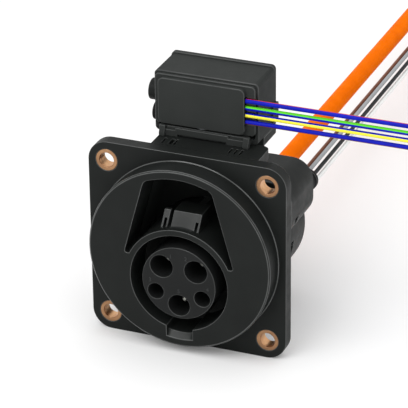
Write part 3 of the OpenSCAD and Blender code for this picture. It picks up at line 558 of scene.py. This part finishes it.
class Finishes:
    """The finishes of this inlet, by the record's material slots."""

    # The third colour of each Plastic lightens its marked edges as a painted highlight.
    HOUSING = Plastic(
        "housing_black", srgb(26, 28, 27), srgb(30, 32, 31), srgb(76, 78, 77), (0.38, 0.50), 0.10, 3200.0, 0.00002,
        edge_coat=0.9,
    )
    # A lighter copy of the housing's black plastic, so that the actuator looks brighter: painted light.
    ACTUATOR_LIGHTENED = Plastic(
        "housing_black", srgb(48, 50, 49), srgb(52, 54, 53), srgb(60, 62, 61), (0.42, 0.54), 0.02, 3200.0, 0.00002,
        variant="_actuator",
    )
    INSERT = Plastic(
        "insert_grey", srgb(28, 29, 29), srgb(32, 33, 33), srgb(64, 66, 65), (0.40, 0.52), 0.10, 3800.0, 0.00002
    )
    MARK = Plastic(
        "insert_grey", srgb(56, 58, 58), srgb(64, 66, 66), srgb(70, 72, 72), (0.40, 0.52), 0.06, 3800.0, 0.00002,
        variant="_mark",
    )
    RUBBER = Plastic(
        "rubber_black", srgb(17, 17, 17), srgb(22, 22, 22), srgb(60, 60, 60), (0.62, 0.75), 0.15, 2400.0, 0.00004
    )
    # The bronze's last colour darkens the bushings' front faces and bevels as a painted shade.
    BRONZE = Metal("bushing_bronze", srgb(200, 150, 106), srgb(222, 176, 132), (0.24, 0.36), 1400.0, 0.00003,
                   srgb(146, 110, 82))
    PLATED = Metal("plated_copper", srgb(150, 150, 144), srgb(176, 176, 170), (0.2, 0.34), 5000.0, 0.000006)
    STEEL = Metal("steel", srgb(150, 153, 156), srgb(184, 187, 190), (0.26, 0.42), 3000.0, 0.00001)
    GEAR = Plastic(
        "gear_white", srgb(216, 216, 210), srgb(228, 228, 222), srgb(240, 240, 236), (0.36, 0.48), 0.5, 3000.0, 0.00001
    )
    BOARD = Plastic(
        "board_green", srgb(22, 84, 48), srgb(30, 98, 58), srgb(150, 150, 110), (0.3, 0.4), 0.5, 900.0, 0.00001
    )
    CABLE = Insulation("cable_orange", srgb(240, 112, 2), srgb(228, 102, 0), specular=0.01)
    BROWN = Insulation("wire_brown", srgb(112, 66, 46), srgb(98, 56, 38))
    GREY = Insulation("wire_grey", srgb(158, 160, 162), srgb(146, 148, 150))
    BLACK = Insulation("wire_black", srgb(34, 35, 37), srgb(28, 29, 31))
    WHITE = Insulation("wire_white", srgb(240, 240, 238), srgb(230, 230, 228))


BLUE = srgb(6, 22, 176)
BLUE_SHADE = srgb(4, 16, 160)


class Softened:
    """A moulded or machined piece: the CAD solid with its sharp edges rounded."""

    # Face attribute that marks where painted light goes: bevels, and faces turned the ramp's way.
    EDGE = "painted_light_faces"
    WELD = 2e-6
    FLAT = math.radians(0.6)
    SHARP = math.radians(28)
    RAMP = Vector((0, -1, 1)).normalized()
    FRONT = Vector((0, -1, 0))
    RAMP_SPREAD = 0.15
    CREASE = math.radians(50)
    AREA_WEIGHT = 80

    def __init__(self, node: str, finish: Finish, radius: float = 0.25 * MM, body: str = BASE,
                 seam_y: Optional[float] = None, segments: int = 2, ramp_painted_light: float = 0.0,
                 ramp: Vector = RAMP, ramp_reach: float = math.inf) -> None:
        """Keeps what the piece is made from.

        Args:
            node: The CAD node.
            finish: Its finish.
            radius: Width of the rounding.
            body: The body it rides on.
            seam_y: Plane of a bonded seam, whose edges stay sharp.
            segments: Steps of the rounding.
            ramp_painted_light: Strength of the painted light on the faces that turn the ramp's way.
            ramp: The way that the faces with painted light turn.
            ramp_reach: How far from the disc's axis they lie, at most.
        """
        self.node = node
        self.finish = finish
        self.radius = radius
        self.body = body
        self.seam_y = seam_y
        self.segments = segments
        self.ramp_painted_light = ramp_painted_light
        self.ramp = ramp
        self.ramp_reach = ramp_reach

    def build(self) -> bpy.types.Object:
        """Rounds a merged copy of the solid and puts it in the node's place.

        Returns:
            The finished piece.
        """
        bm = bmesh.new()
        bm.from_mesh(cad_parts[self.node].data)
        bmesh.ops.remove_doubles(bm, verts=bm.verts, dist=self.WELD)
        bmesh.ops.dissolve_limit(bm, angle_limit=self.FLAT, verts=bm.verts, edges=bm.edges)
        self.round_edges(bm)
        mesh = mesh_from(bm, self.node + "_piece")
        piece = add_object(self.node + "_piece", mesh)
        self.dress(piece)
        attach(piece, self.body)
        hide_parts(self.node)
        LOG.info("%s: %d faces", piece.name, len(mesh.polygons))
        return piece

    def round_edges(self, bm: bmesh.types.BMesh) -> None:
        """Bevels the outer edges, and marks the new faces and the faces that turn the ramp's way for painted light.

        Args:
            bm: The merged copy of the solid.
        """
        edges = [e for e in bm.edges if len(e.link_faces) == 2 and e.calc_face_angle_signed(0.0) > self.SHARP]
        if self.seam_y is not None:
            edges = [e for e in edges if max(abs(v.co.y - self.seam_y) for v in e.verts) > self.WELD]
        light_paint = bm.faces.layers.float.new(self.EDGE)
        made = bmesh.ops.bevel(
            bm, geom=edges, offset=self.radius, offset_type="OFFSET", segments=self.segments, profile=0.5,
            affect="EDGES", clamp_overlap=False, material=-1,
        )
        bm.normal_update()
        # Painted light on the faces that turn the ramp's way: a painted highlight on the plastic, a painted shade on
        # the bronze.
        for face in bm.faces:
            middle = face.calc_center_median()
            if math.hypot(middle.x, middle.z) < self.ramp_reach:
                face[light_paint] = self.ramp_painted_light * max(0.0, 1 - (1 - face.normal.dot(self.ramp)) / self.RAMP_SPREAD)
        # Every bevel face takes the full painted light.
        for face in made["faces"]:
            face[light_paint] = 1.0

    def dress(self, piece: bpy.types.Object) -> None:
        """Shades the piece smooth by face area and gives it its finish.

        Args:
            piece: The piece.
        """
        piece.data.materials.clear()
        piece.data.materials.append(self.finish.material())
        piece.data.shade_smooth()
        piece.data.set_sharp_from_angle(angle=self.CREASE)
        normals = piece.modifiers.new("even_normals", "WEIGHTED_NORMAL")
        normals.keep_sharp = True
        normals.weight = self.AREA_WEIGHT


@dataclass
class Inner:
    """CAD solids that keep their own mesh, such as the drive inside the case."""

    nodes: dict[str, Finish] = field(default_factory=dict)

    def dress(self) -> None:
        """Gives each node its finish."""
        for node, finish in self.nodes.items():
            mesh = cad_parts[node].data
            mesh.materials.clear()
            mesh.materials.append(finish.material())
            LOG.info("%s: finish %s", node, finish.name)


class Turn(Enum):
    """The way that a coil winds, seen from above."""

    CLOCKWISE = -1
    COUNTERCLOCKWISE = 1


@dataclass
class Coil:
    """Round coil on the ground that takes up the rest of a lead."""

    centre: tuple[float, float]
    radius: float
    start_deg: float
    turn: Turn
    rise: float = 0.0
    shrink: float = 0.0
    steps: int = 36

    def points(self, z: float, length: float) -> list[Vector]:
        """Works out the coil's turns.

        Args:
            z: Height of the first turn.
            length: Length that the coil takes up.

        Returns:
            Points along the coil.
        """
        made: list[Vector] = []
        angle, left = 0.0, length
        while left > 0:
            share = angle / math.tau
            radius = self.radius - self.shrink * share
            phi = math.radians(self.start_deg) + self.turn.value * angle
            made.append(Vector((
                self.centre[0] + radius * math.cos(phi), self.centre[1] + radius * math.sin(phi), z + self.rise * share
            )))
            angle += math.tau / self.steps
            left -= math.hypot(radius * math.tau, self.rise) / self.steps
        return made


@dataclass
class Tie:
    """Strap that holds a coil's turns together."""

    name: str
    coil: Coil
    reach: tuple[float, float]
    heights: tuple[float, float]
    at_deg: float = 90.0
    width: float = 4 * MM
    thickness: float = 0.6 * MM
    corner: float = 1.5 * MM
    corner_steps: int = 5

    def build(self) -> bpy.types.Object:
        """Makes the strap as a band round the turns, with rounded corners and a wall.

        Returns:
            The finished strap.
        """
        turned = Matrix.Rotation(math.radians(self.at_deg), 4, "Z")
        place = Matrix.Translation((*self.coil.centre, GROUND_Z)) @ turned
        low, high = self.reach
        inner, outer = self.heights
        corners = [(low, 0.0), (high, 0.0), (high, outer), (low, inner)]
        bm = bmesh.new()
        verts = [bm.verts.new((reach, -self.width / 2, rise)) for reach, rise in corners]
        rim = [bm.edges.new(pair) for pair in zip(verts, verts[1:] + verts[:1])]
        made = bmesh.ops.extrude_edge_only(bm, edges=rim)["geom"]
        far = [part for part in made if isinstance(part, bmesh.types.BMVert)]
        bmesh.ops.translate(bm, verts=far, vec=(0, self.width, 0))
        across = [edge for edge in bm.edges if abs(edge.verts[0].co.y - edge.verts[1].co.y) > self.width / 2]
        bmesh.ops.bevel(
            bm, geom=across, offset=self.corner, segments=self.corner_steps, profile=0.5, affect="EDGES", material=-1
        )
        bmesh.ops.recalc_face_normals(bm, faces=bm.faces)
        bmesh.ops.solidify(bm, geom=bm.faces[:], thickness=self.thickness)
        bmesh.ops.recalc_face_normals(bm, faces=bm.faces)
        bm.transform(place)
        piece = add_object(self.name, mesh_from(bm, self.name))
        piece.data.materials.append(Finishes.RUBBER.material())
        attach(piece, BASE)
        LOG.info("%s: strap", piece.name)
        return piece


@dataclass
class Lead:
    """A free cable or wire: a smooth route from its exit, then a coil."""

    name: str
    route: list[Vector]
    exit: tuple[float, float, float]
    diameter: float
    length: float
    coil: Coil
    finish: Finish
    nodes: Sequence[str]
    stiffness: str
    ties: Sequence[bpy.types.Object] = ()
    sides: int = 3
    step: float = 0.004
    UV = "UVMap"
    CREASE = math.radians(60)
    SHORT = 1e-6

    def path(self) -> list[Vector]:
        """Joins the smoothed route and the coil to the lead's full length.

        Returns:
            Points along the lead.
        """
        line = smooth(self.route, self.step)
        used = sum((b - a).length for a, b in zip(line, line[1:]))
        end = line[-1]
        gap = (self.coil_start(end.z) - end).length
        return line + self.coil.points(end.z, self.length - used - gap)

    def coil_start(self, z: float) -> Vector:
        """Gives the coil's first point at a height.

        Args:
            z: The height.

        Returns:
            The point.
        """
        return self.coil.points(z, self.SHORT)[0]

    def build(self) -> bpy.types.Object:
        """Returns:
            The finished lead.
        """
        path = self.path()
        curve = bpy.data.curves.new(self.name, "CURVE")
        curve.dimensions = "3D"
        curve.twist_mode = "Z_UP"
        curve.bevel_depth = self.diameter / 2
        curve.bevel_resolution = self.sides
        curve.use_fill_caps = True
        spline = curve.splines.new("POLY")
        spline.points.add(len(path) - 1)
        for point, place in zip(spline.points, path):
            point.co = (*place, 1.0)
        shaped = add_object(self.name + "_line", curve)
        seen = shaped.evaluated_get(bpy.context.evaluated_depsgraph_get())
        mesh = bpy.data.meshes.new_from_object(seen)
        bpy.data.objects.remove(shaped)
        mesh.materials.clear()
        mesh.materials.append(self.finish.material())
        mesh.shade_smooth()
        mesh.set_sharp_from_angle(angle=self.CREASE)
        piece = add_object(self.name + "_lead", mesh)
        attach(piece, BASE)
        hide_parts(*self.nodes)
        LOG.info("%s: %d points", piece.name, len(path))
        return piece


def slope(before: float, after: float) -> float:
    """Gives a curve's slope at a point, with no overshoot.

    Args:
        before: Slope of the side before the point.
        after: Slope of the side after it.

    Returns:
        The slope.
    """
    return 0.0 if before * after <= 0 else 2 * before * after / (before + after)


def smooth(route: Sequence[Vector], step: float) -> list[Vector]:
    """Draws one smooth curve through a route's points.

    Args:
        route: The points.
        step: Distance between the curve's points, at most.

    Returns:
        Points along the curve.
    """
    spans = [(b - a).length for a, b in zip(route, route[1:])]
    sides = [(b - a) / span for a, b, span in zip(route, route[1:], spans)]
    slopes = [sides[0]]
    slopes += [Vector(slope(p, q) for p, q in zip(a, b)) for a, b in zip(sides, sides[1:])]
    slopes.append(sides[-1])
    made = [route[0].copy()]
    for a, b, m, n, span in zip(route, route[1:], slopes, slopes[1:], spans):
        count = max(1, math.ceil(span / step))
        for t in (k / count for k in range(1, count + 1)):
            made.append(
                (2 * t**3 - 3 * t**2 + 1) * a + (t**3 - 2 * t**2 + t) * span * m
                + (3 * t**2 - 2 * t**3) * b + (t**3 - t**2) * span * n
            )
    return made


@dataclass
class PowerCable:
    """The orange cable on the mating axis."""

    diameter: float = 8.4 * MM
    length: float = 0.7
    start: Vector = field(default_factory=lambda: Vector((0, 62, -11)) * MM)
    drop: float = -29.8 * MM
    gland_end: float = 86 * MM
    coil_radius: float = 46 * MM
    coil_y: float = 387 * MM
    tie_span: float = 2.2

    def build(self) -> None:
        """Makes the cable along the solid's own route."""
        shape = [
            (0, 0), (80, 0), (160, 0), (247, 0), (256, 0.04), (264, 0.14), (271, 0.3), (276.5, 0.5), (282, 0.7),
            (289, 0.86), (297, 0.96), (305, 1),
        ]
        route = [self.start + Vector((0, y * MM, down * self.drop)) for y, down in shape]
        coil = Coil((self.coil_radius, self.coil_y), self.coil_radius, 180, Turn.CLOCKWISE, shrink=self.diameter)
        outer = self.coil_radius + self.diameter / 2
        reach = (outer - self.tie_span * self.diameter, outer)
        tie = Tie("power_cable_tie", coil, reach, (self.diameter, self.diameter)).build()
        Lead(
            "power_cable", route, (0, self.gland_end, self.start.z), self.diameter, self.length, coil,
            Finishes.CABLE, ["power_cable", "power_cable_coil"], "stiff", [tie], sides=6,
        ).build()


@dataclass
class SensorWires:
    """Thin wires from the grommet, laid side by side into one coil."""

    diameter: float = 1.8 * MM
    length: float = 0.6
    start: Vector = field(default_factory=lambda: Vector((28, 61.5, 6)) * MM)
    drop: float = -49.9 * MM
    lane: float = 1.9 * MM
    grommet_end: float = 72.5 * MM
    coil_radius: float = 12 * MM
    coil_heights: tuple[float, float] = (14.2 * MM, 8.6 * MM)
    coil_y: float = 290 * MM

    def build(self) -> None:
        """Makes the wires along the solids' own routes."""
        shape = [(0, 0), (80, 0), (162, 0), (176, 0.1), (188, 0.34), (199, 0.7), (211, 0.95), (224, 1)]
        places = [(-2.6, 2.0), (-0.3, 2.6), (1.6, 0.6), (2.6, -2.1)]
        looks = [("brown", Finishes.BROWN), ("grey", Finishes.GREY), ("black", Finishes.BLACK),
                 ("white", Finishes.WHITE)]
        half = 1.5 * self.lane + self.diameter / 2
        middle = Coil((self.start.x + self.coil_radius, self.coil_y), self.coil_radius, 180, Turn.CLOCKWISE)
        tie = Tie(
            "sensor_wire_tie", middle, (self.coil_radius - half, self.coil_radius + half), self.coil_heights
        ).build()
        for index, ((name, finish), (x, z)) in enumerate(zip(looks, places)):
            lane = (index - 1.5) * self.lane
            route = []
            for y, down in shape:
                across = x * MM + min(1, 2 * down) * (lane - x * MM)
                route.append(self.start + Vector((across, y * MM, down * self.drop + (1 - down) * z * MM)))
            coil = Coil((self.start.x + self.coil_radius, self.coil_y), self.coil_radius - lane, 180,
                        Turn.CLOCKWISE, rise=self.lane)
            nodes = ["sensor_wire_" + name] + (["sensor_wire_coil"] if index == 0 else [])
            Lead(
                "sensor_wire_" + name, route, (route[0].x, self.grommet_end, route[0].z), self.diameter, self.length,
                coil, finish, nodes, "limp", [tie] if index == 0 else [],
            ).build()


@dataclass
class ActuatorWires:
    """Blue wires with coloured stripes from the actuator's cover, laid side by side into one coil."""

    diameter: float = 2 * MM
    length: float = 0.5
    start: Vector = field(default_factory=lambda: Vector((18.1, 17.4, 56.1)) * MM)
    drop: float = -99.9 * MM
    pitch: float = 3.2 * MM
    lane: float = 2.1 * MM
    fan: float = 2.2 * MM
    bend_x: float = 80
    cover_end: float = 20.3 * MM
    coil_radius: float = 12 * MM
    coil_heights: tuple[float, float] = (14.2 * MM, 8.6 * MM)
    coil_x: float = 136 * MM

    def build(self) -> None:
        """Makes the wires along the solids' own routes."""
        shape = [(0, 0), (40, 0), (80, 0), (89, 0.08), (94, 0.27), (97.5, 0.5), (101, 0.75), (105.5, 0.94), (111, 1)]
        looks = [
            ("brown", srgb(120, 60, 40), 0.47, 0.70), ("yellow", srgb(250, 240, 70), 0.30, 0.62),
            ("green", srgb(96, 214, 40), 0.0, 0.34), ("red", srgb(190, 50, 40), 0.0, 0.19),
        ]
        half = 1.5 * self.lane + self.diameter / 2
        middle = Coil((self.coil_x, self.start.y + self.coil_radius), self.coil_radius, -90, Turn.COUNTERCLOCKWISE)
        tie = Tie(
            "actuator_wire_tie", middle, (self.coil_radius - half, self.coil_radius + half), self.coil_heights
        ).build()
        for index, (name, stripe, begin, end) in enumerate(looks):
            lane = (index - 1.5) * self.lane
            route = []
            for x, down in shape:
                along = x * MM + (index * self.fan if x > self.bend_x else 0)
                up = down * self.drop + (1 - down) * index * self.pitch
                route.append(self.start + Vector((along, down * lane, up)))
            coil = Coil((self.coil_x, self.start.y + self.coil_radius), self.coil_radius - lane, -90,
                        Turn.COUNTERCLOCKWISE, rise=self.lane)
            nodes = ["actuator_wire_" + name] + (["actuator_wire_coil"] if index == 0 else [])
            finish = Insulation("wire_blue_" + name, BLUE, BLUE_SHADE, stripe, begin, end)
            Lead(
                "actuator_wire_" + name, route, (self.cover_end, route[0].y, route[0].z), self.diameter, self.length,
                coil, finish, nodes, "limp", [tie] if index == 0 else [],
            ).build()


@dataclass
class PhotoCamera:
    """Camera at the photograph's viewing angle."""

    azimuth: float = math.radians(22.38)
    elevation: float = math.radians(26.44)
    roll: float = math.radians(-0.70)
    distance: float = 1.133
    aim: Vector = field(default_factory=lambda: Vector((8.0, 0.0, 23.5)) * MM)
    focal_px: float = 2691.0
    sensor_mm: float = 36.0
    clip: tuple[float, float] = (0.05, 50.0)

    def build(self) -> bpy.types.Object:
        """Makes the scene's camera.

        Returns:
            The camera.
        """
        data = bpy.data.cameras.new("photo_camera")
        data.sensor_width = self.sensor_mm
        data.lens = data.sensor_width * self.focal_px / IMAGE_PX
        data.clip_start, data.clip_end = self.clip
        flat = math.cos(self.elevation)
        back = Vector((math.sin(self.azimuth) * flat, -math.cos(self.azimuth) * flat, math.sin(self.elevation)))
        level = Vector((math.cos(self.azimuth), math.sin(self.azimuth), 0))
        rise = back.cross(level)
        right = math.cos(self.roll) * level + math.sin(self.roll) * rise
        up = math.cos(self.roll) * rise - math.sin(self.roll) * level
        camera = bpy.data.objects.new("photo_camera", data)
        turn = Matrix((right, up, back)).transposed().to_4x4()
        camera.matrix_world = Matrix.Translation(self.aim + back * self.distance) @ turn
        bpy.context.scene.collection.objects.link(camera)
        bpy.context.scene.camera = camera
        return camera


@dataclass
class Softbox:
    """A square lamp that looks at a point."""

    name: str
    place: tuple[float, float, float]
    aim: tuple[float, float, float]
    size: float
    watts: float

    def build(self) -> None:
        """Makes the lamp."""
        data = bpy.data.lights.new(self.name, "AREA")
        data.size = self.size
        data.energy = self.watts
        lamp = bpy.data.objects.new(self.name, data)
        away = Vector(self.place) - Vector(self.aim)
        lamp.matrix_world = Matrix.Translation(self.place) @ away.to_track_quat("Z", "Y").to_matrix().to_4x4()
        bpy.context.scene.collection.objects.link(lamp)
        LOG.info("%s: %.1f W", self.name, self.watts)


@dataclass
class Studio:
    """White floor, soft light and a white surround."""

    ambient: float = 0.9
    floor_half: float = 6.0
    floor_white: float = 0.8
    floor_glow: float = 0.08
    lamps: Sequence[Softbox] = (
        Softbox("key_softbox", (-0.3, -0.8, 1.0), (0, 0, 0), 0.8, 6.5),
        Softbox("side_softbox", (0.7, -0.4, 0.8), (0, 0, 0), 0.9, 1.0),
        Softbox("top_softbox", (0.1, 0.0, 1.3), (0, 0, 0), 1.2, 3.5),
    )

    def build(self) -> None:
        """Makes the floor, the world and the lamps."""
        bpy.context.scene.view_settings.view_transform = "Standard"
        self.build_world()
        self.build_floor()
        for lamp in self.lamps:
            lamp.build()

    @staticmethod
    def backdrop_rays(tree: Tree) -> bpy.types.NodeSocket:
        """Marks the rays that see the backdrop as it looks, and not as a light.

        Args:
            tree: The material's or world's tree.

        Returns:
            1 for camera, glossy and transmission rays.
        """
        rays = tree.add("LightPath")
        seen = tree.math("MAXIMUM", rays.outputs["Is Camera Ray"], rays.outputs["Is Transmission Ray"])
        return tree.math("MAXIMUM", seen, rays.outputs["Is Glossy Ray"])

    def build_world(self) -> None:
        """Makes a world that looks white and lights the object plainly."""
        world = bpy.data.worlds.new("white_surround")
        bpy.context.scene.world = world
        world.use_nodes = True
        tree = Tree(world.node_tree)
        ground = tree.add("Background")
        strength = tree.spread(self.backdrop_rays(tree), self.ambient, 1.0, 0.0, 1.0)
        tree.link(strength, ground.inputs["Strength"])
        ground.inputs["Color"].default_value = (1, 1, 1, 1)
        tree.link(ground.outputs[0], tree.add("OutputWorld").inputs["Surface"])

    def build_floor(self) -> None:
        """Makes the floor that keeps the object's shadow."""
        bm = bmesh.new()
        bmesh.ops.create_grid(bm, x_segments=1, y_segments=1, size=self.floor_half)
        bmesh.ops.translate(bm, verts=bm.verts, vec=(0, 0, GROUND_Z))
        floor = add_object("floor", mesh_from(bm, "floor"))
        material = bpy.data.materials.new("white_floor")
        material.use_nodes = True
        tree = Tree(material.node_tree)
        card = tree.add("BsdfDiffuse")
        card.inputs["Color"].default_value = (self.floor_white, self.floor_white, self.floor_white, 1.0)
        glow = tree.add("Emission")
        strength = tree.spread(self.backdrop_rays(tree), 0.0, self.floor_glow, 0.0, 1.0)
        tree.link(strength, glow.inputs["Strength"])
        both = tree.add("AddShader")
        tree.link(card.outputs[0], both.inputs[0])
        tree.link(glow.outputs[0], both.inputs[1])
        tree.link(both.outputs[0], tree.add("OutputMaterial").inputs["Surface"])
        floor.data.materials.append(material)


@dataclass
class Housing:
    """Front housing, rear housing, insert and the metal that they hold."""

    pieces: Iterable[Softened] = (
        # front_housing: painted highlight on the faces that turn up and forward, such as the key slot's ramp.
        Softened("front_housing", Finishes.HOUSING, 0.25 * MM, seam_y=FLANGE_T, ramp_painted_light=0.3, ramp_reach=38 * MM),
        Softened("mounting_flange", Finishes.HOUSING, 0.2 * MM),
        Softened("socket_barrel", Finishes.HOUSING, 0.3 * MM, seam_y=FLANGE_T),
        Softened("lock_block", Finishes.HOUSING, 0.12 * MM, seam_y=FLANGE_T),
        # Bushings: painted shade on the faces turned to the front.
        Softened("mounting_bushings", Finishes.BRONZE, 0.3 * MM, ramp_painted_light=1.0, ramp=Softened.FRONT),
        Softened("contact_insert", Finishes.INSERT, 0.25 * MM),
        Softened("contact_carrier", Finishes.INSERT, 0.2 * MM),
        Softened("power_pins", Finishes.PLATED, 0.1 * MM),
        Softened("earth_pin", Finishes.PLATED, 0.1 * MM),
        Softened("signal_pins", Finishes.PLATED, 0.08 * MM),
        Softened("rear_housing", Finishes.HOUSING, 0.5 * MM),
        Softened("wire_grommet", Finishes.RUBBER, 0.3 * MM),
        Softened("gland_body", Finishes.HOUSING, 0.3 * MM),
        Softened("gland_nut", Finishes.HOUSING, 0.3 * MM),
    )

    def build(self) -> None:
        """Builds the pieces."""
        for piece in self.pieces:
            piece.build()


@dataclass
class DiscFillet:
    """Thin fillet where the raised disc meets the flange, lightened all over in colour as a painted highlight."""

    name: str = "disc_fillet"
    radius: float = 41.5 * MM
    width: float = 0.35 * MM
    sunk: float = 0.1 * MM
    steps: int = 144
    crease: float = math.radians(30)

    def build(self) -> bpy.types.Object:
        """Spins the fillet's section round the disc's axis.

        Returns:
            The finished fillet.
        """
        inner, outer = self.radius - self.sunk, self.radius + self.width
        bm = bmesh.new()
        light_paint = bm.faces.layers.float.new(Softened.EDGE)
        corners = [
            (inner, self.sunk, 0), (outer, self.sunk, 0), (outer, 0, 0), (self.radius, -self.width, 0),
            (inner, -self.width, 0),
        ]
        section = [bm.verts.new(place) for place in corners]
        sides = [bm.edges.new(pair) for pair in zip(section, section[1:] + section[:1])]
        bmesh.ops.spin(
            bm, geom=section + sides, cent=(0, 0, 0), axis=(0, 1, 0), angle=math.tau, steps=self.steps, use_merge=True
        )
        bmesh.ops.recalc_face_normals(bm, faces=bm.faces)
        # Every face takes the painted highlight.
        for face in bm.faces:
            face[light_paint] = 1.0
        piece = add_object(self.name, mesh_from(bm, self.name))
        piece.data.materials.append(Finishes.HOUSING.material())
        piece.data.shade_smooth()
        piece.data.set_sharp_from_angle(angle=self.crease)
        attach(piece, BASE)
        LOG.info("%s: fillet", piece.name)
        return piece


@dataclass
class ContactNumbers:
    """Small raised numbers beside the contact wells, on the insert's front face."""

    face_y: float = -10 * MM
    axis_z: float = -11 * MM
    size: float = 2.6 * MM
    rise: float = 0.12 * MM
    places: Sequence[tuple[float, float]] = ((-3.5, 12.2), (3.4, 12.2), (-13.2, -0.6), (13.2, -0.6), (0.0, -3.8))

    def build(self) -> None:
        """Makes the numbers as one piece."""
        bm = bmesh.new()
        for number, (x, z) in enumerate(self.places, 1):
            line = bpy.data.curves.new(f"number_{number}", "FONT")
            line.body = str(number)
            line.size = self.size
            line.extrude = self.rise
            line.align_x, line.align_y = "CENTER", "CENTER"
            shaped = add_object(f"number_{number}", line)
            mesh = bpy.data.meshes.new_from_object(shaped.evaluated_get(bpy.context.evaluated_depsgraph_get()))
            bpy.data.objects.remove(shaped)
            place = Matrix.Translation((x * MM, self.face_y, self.axis_z + z * MM))
            mesh.transform(place @ Matrix.Rotation(math.radians(90), 4, "X"))
            bm.from_mesh(mesh)
            bpy.data.meshes.remove(mesh)
        piece = add_object("contact_numbers", mesh_from(bm, "contact_numbers"))
        piece.data.materials.append(Finishes.MARK.material())
        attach(piece, BASE)
        LOG.info("%s: %d numbers", piece.name, len(self.places))


@dataclass
class LockActuator:
    """The lock actuator's outer pieces."""

    pieces: Iterable[Softened] = (
        Softened("actuator_case", Finishes.ACTUATOR_LIGHTENED, 0.4 * MM),
        Softened("actuator_cover", Finishes.ACTUATOR_LIGHTENED, 0.35 * MM),
        Softened("retaining_bar", Finishes.ACTUATOR_LIGHTENED, 0.25 * MM),
        Softened("vent_plug", Finishes.RUBBER, 0.4 * MM),
        Softened("wire_seal", Finishes.RUBBER, 0.1 * MM),
        Softened("release_knob", Finishes.HOUSING, 0.4 * MM, "drive"),
    )

    def build(self) -> None:
        """Builds the pieces."""
        for piece in self.pieces:
            piece.build()


def main() -> None:
    """Builds the scene in order."""
    logging.basicConfig(level=logging.INFO)
    PhotoCamera().build()
    PowerCable().build()
    SensorWires().build()
    ActuatorWires().build()
    Studio().build()
    Housing().build()
    DiscFillet().build()
    ContactNumbers().build()
    LockActuator().build()
    Inner({
        "contact_retainer": Finishes.INSERT, "retainer_screws": Finishes.STEEL,
        "temperature_sensor": Finishes.RUBBER, "housing_seal": Finishes.RUBBER, "cable_seal": Finishes.RUBBER,
        "bolt_seal": Finishes.RUBBER, "drive_motor": Finishes.STEEL, "motor_end_cap": Finishes.INSERT,
        "motor_rotor": Finishes.STEEL, "circuit_board": Finishes.BOARD,
        "position_switch": Finishes.INSERT, "drive_shaft": Finishes.STEEL, "drive_gear": Finishes.GEAR,
        "motor_pinion": Finishes.STEEL, "lock_bolt": Finishes.STEEL,
    }).dress()


if __name__ == "__main__":
    main()
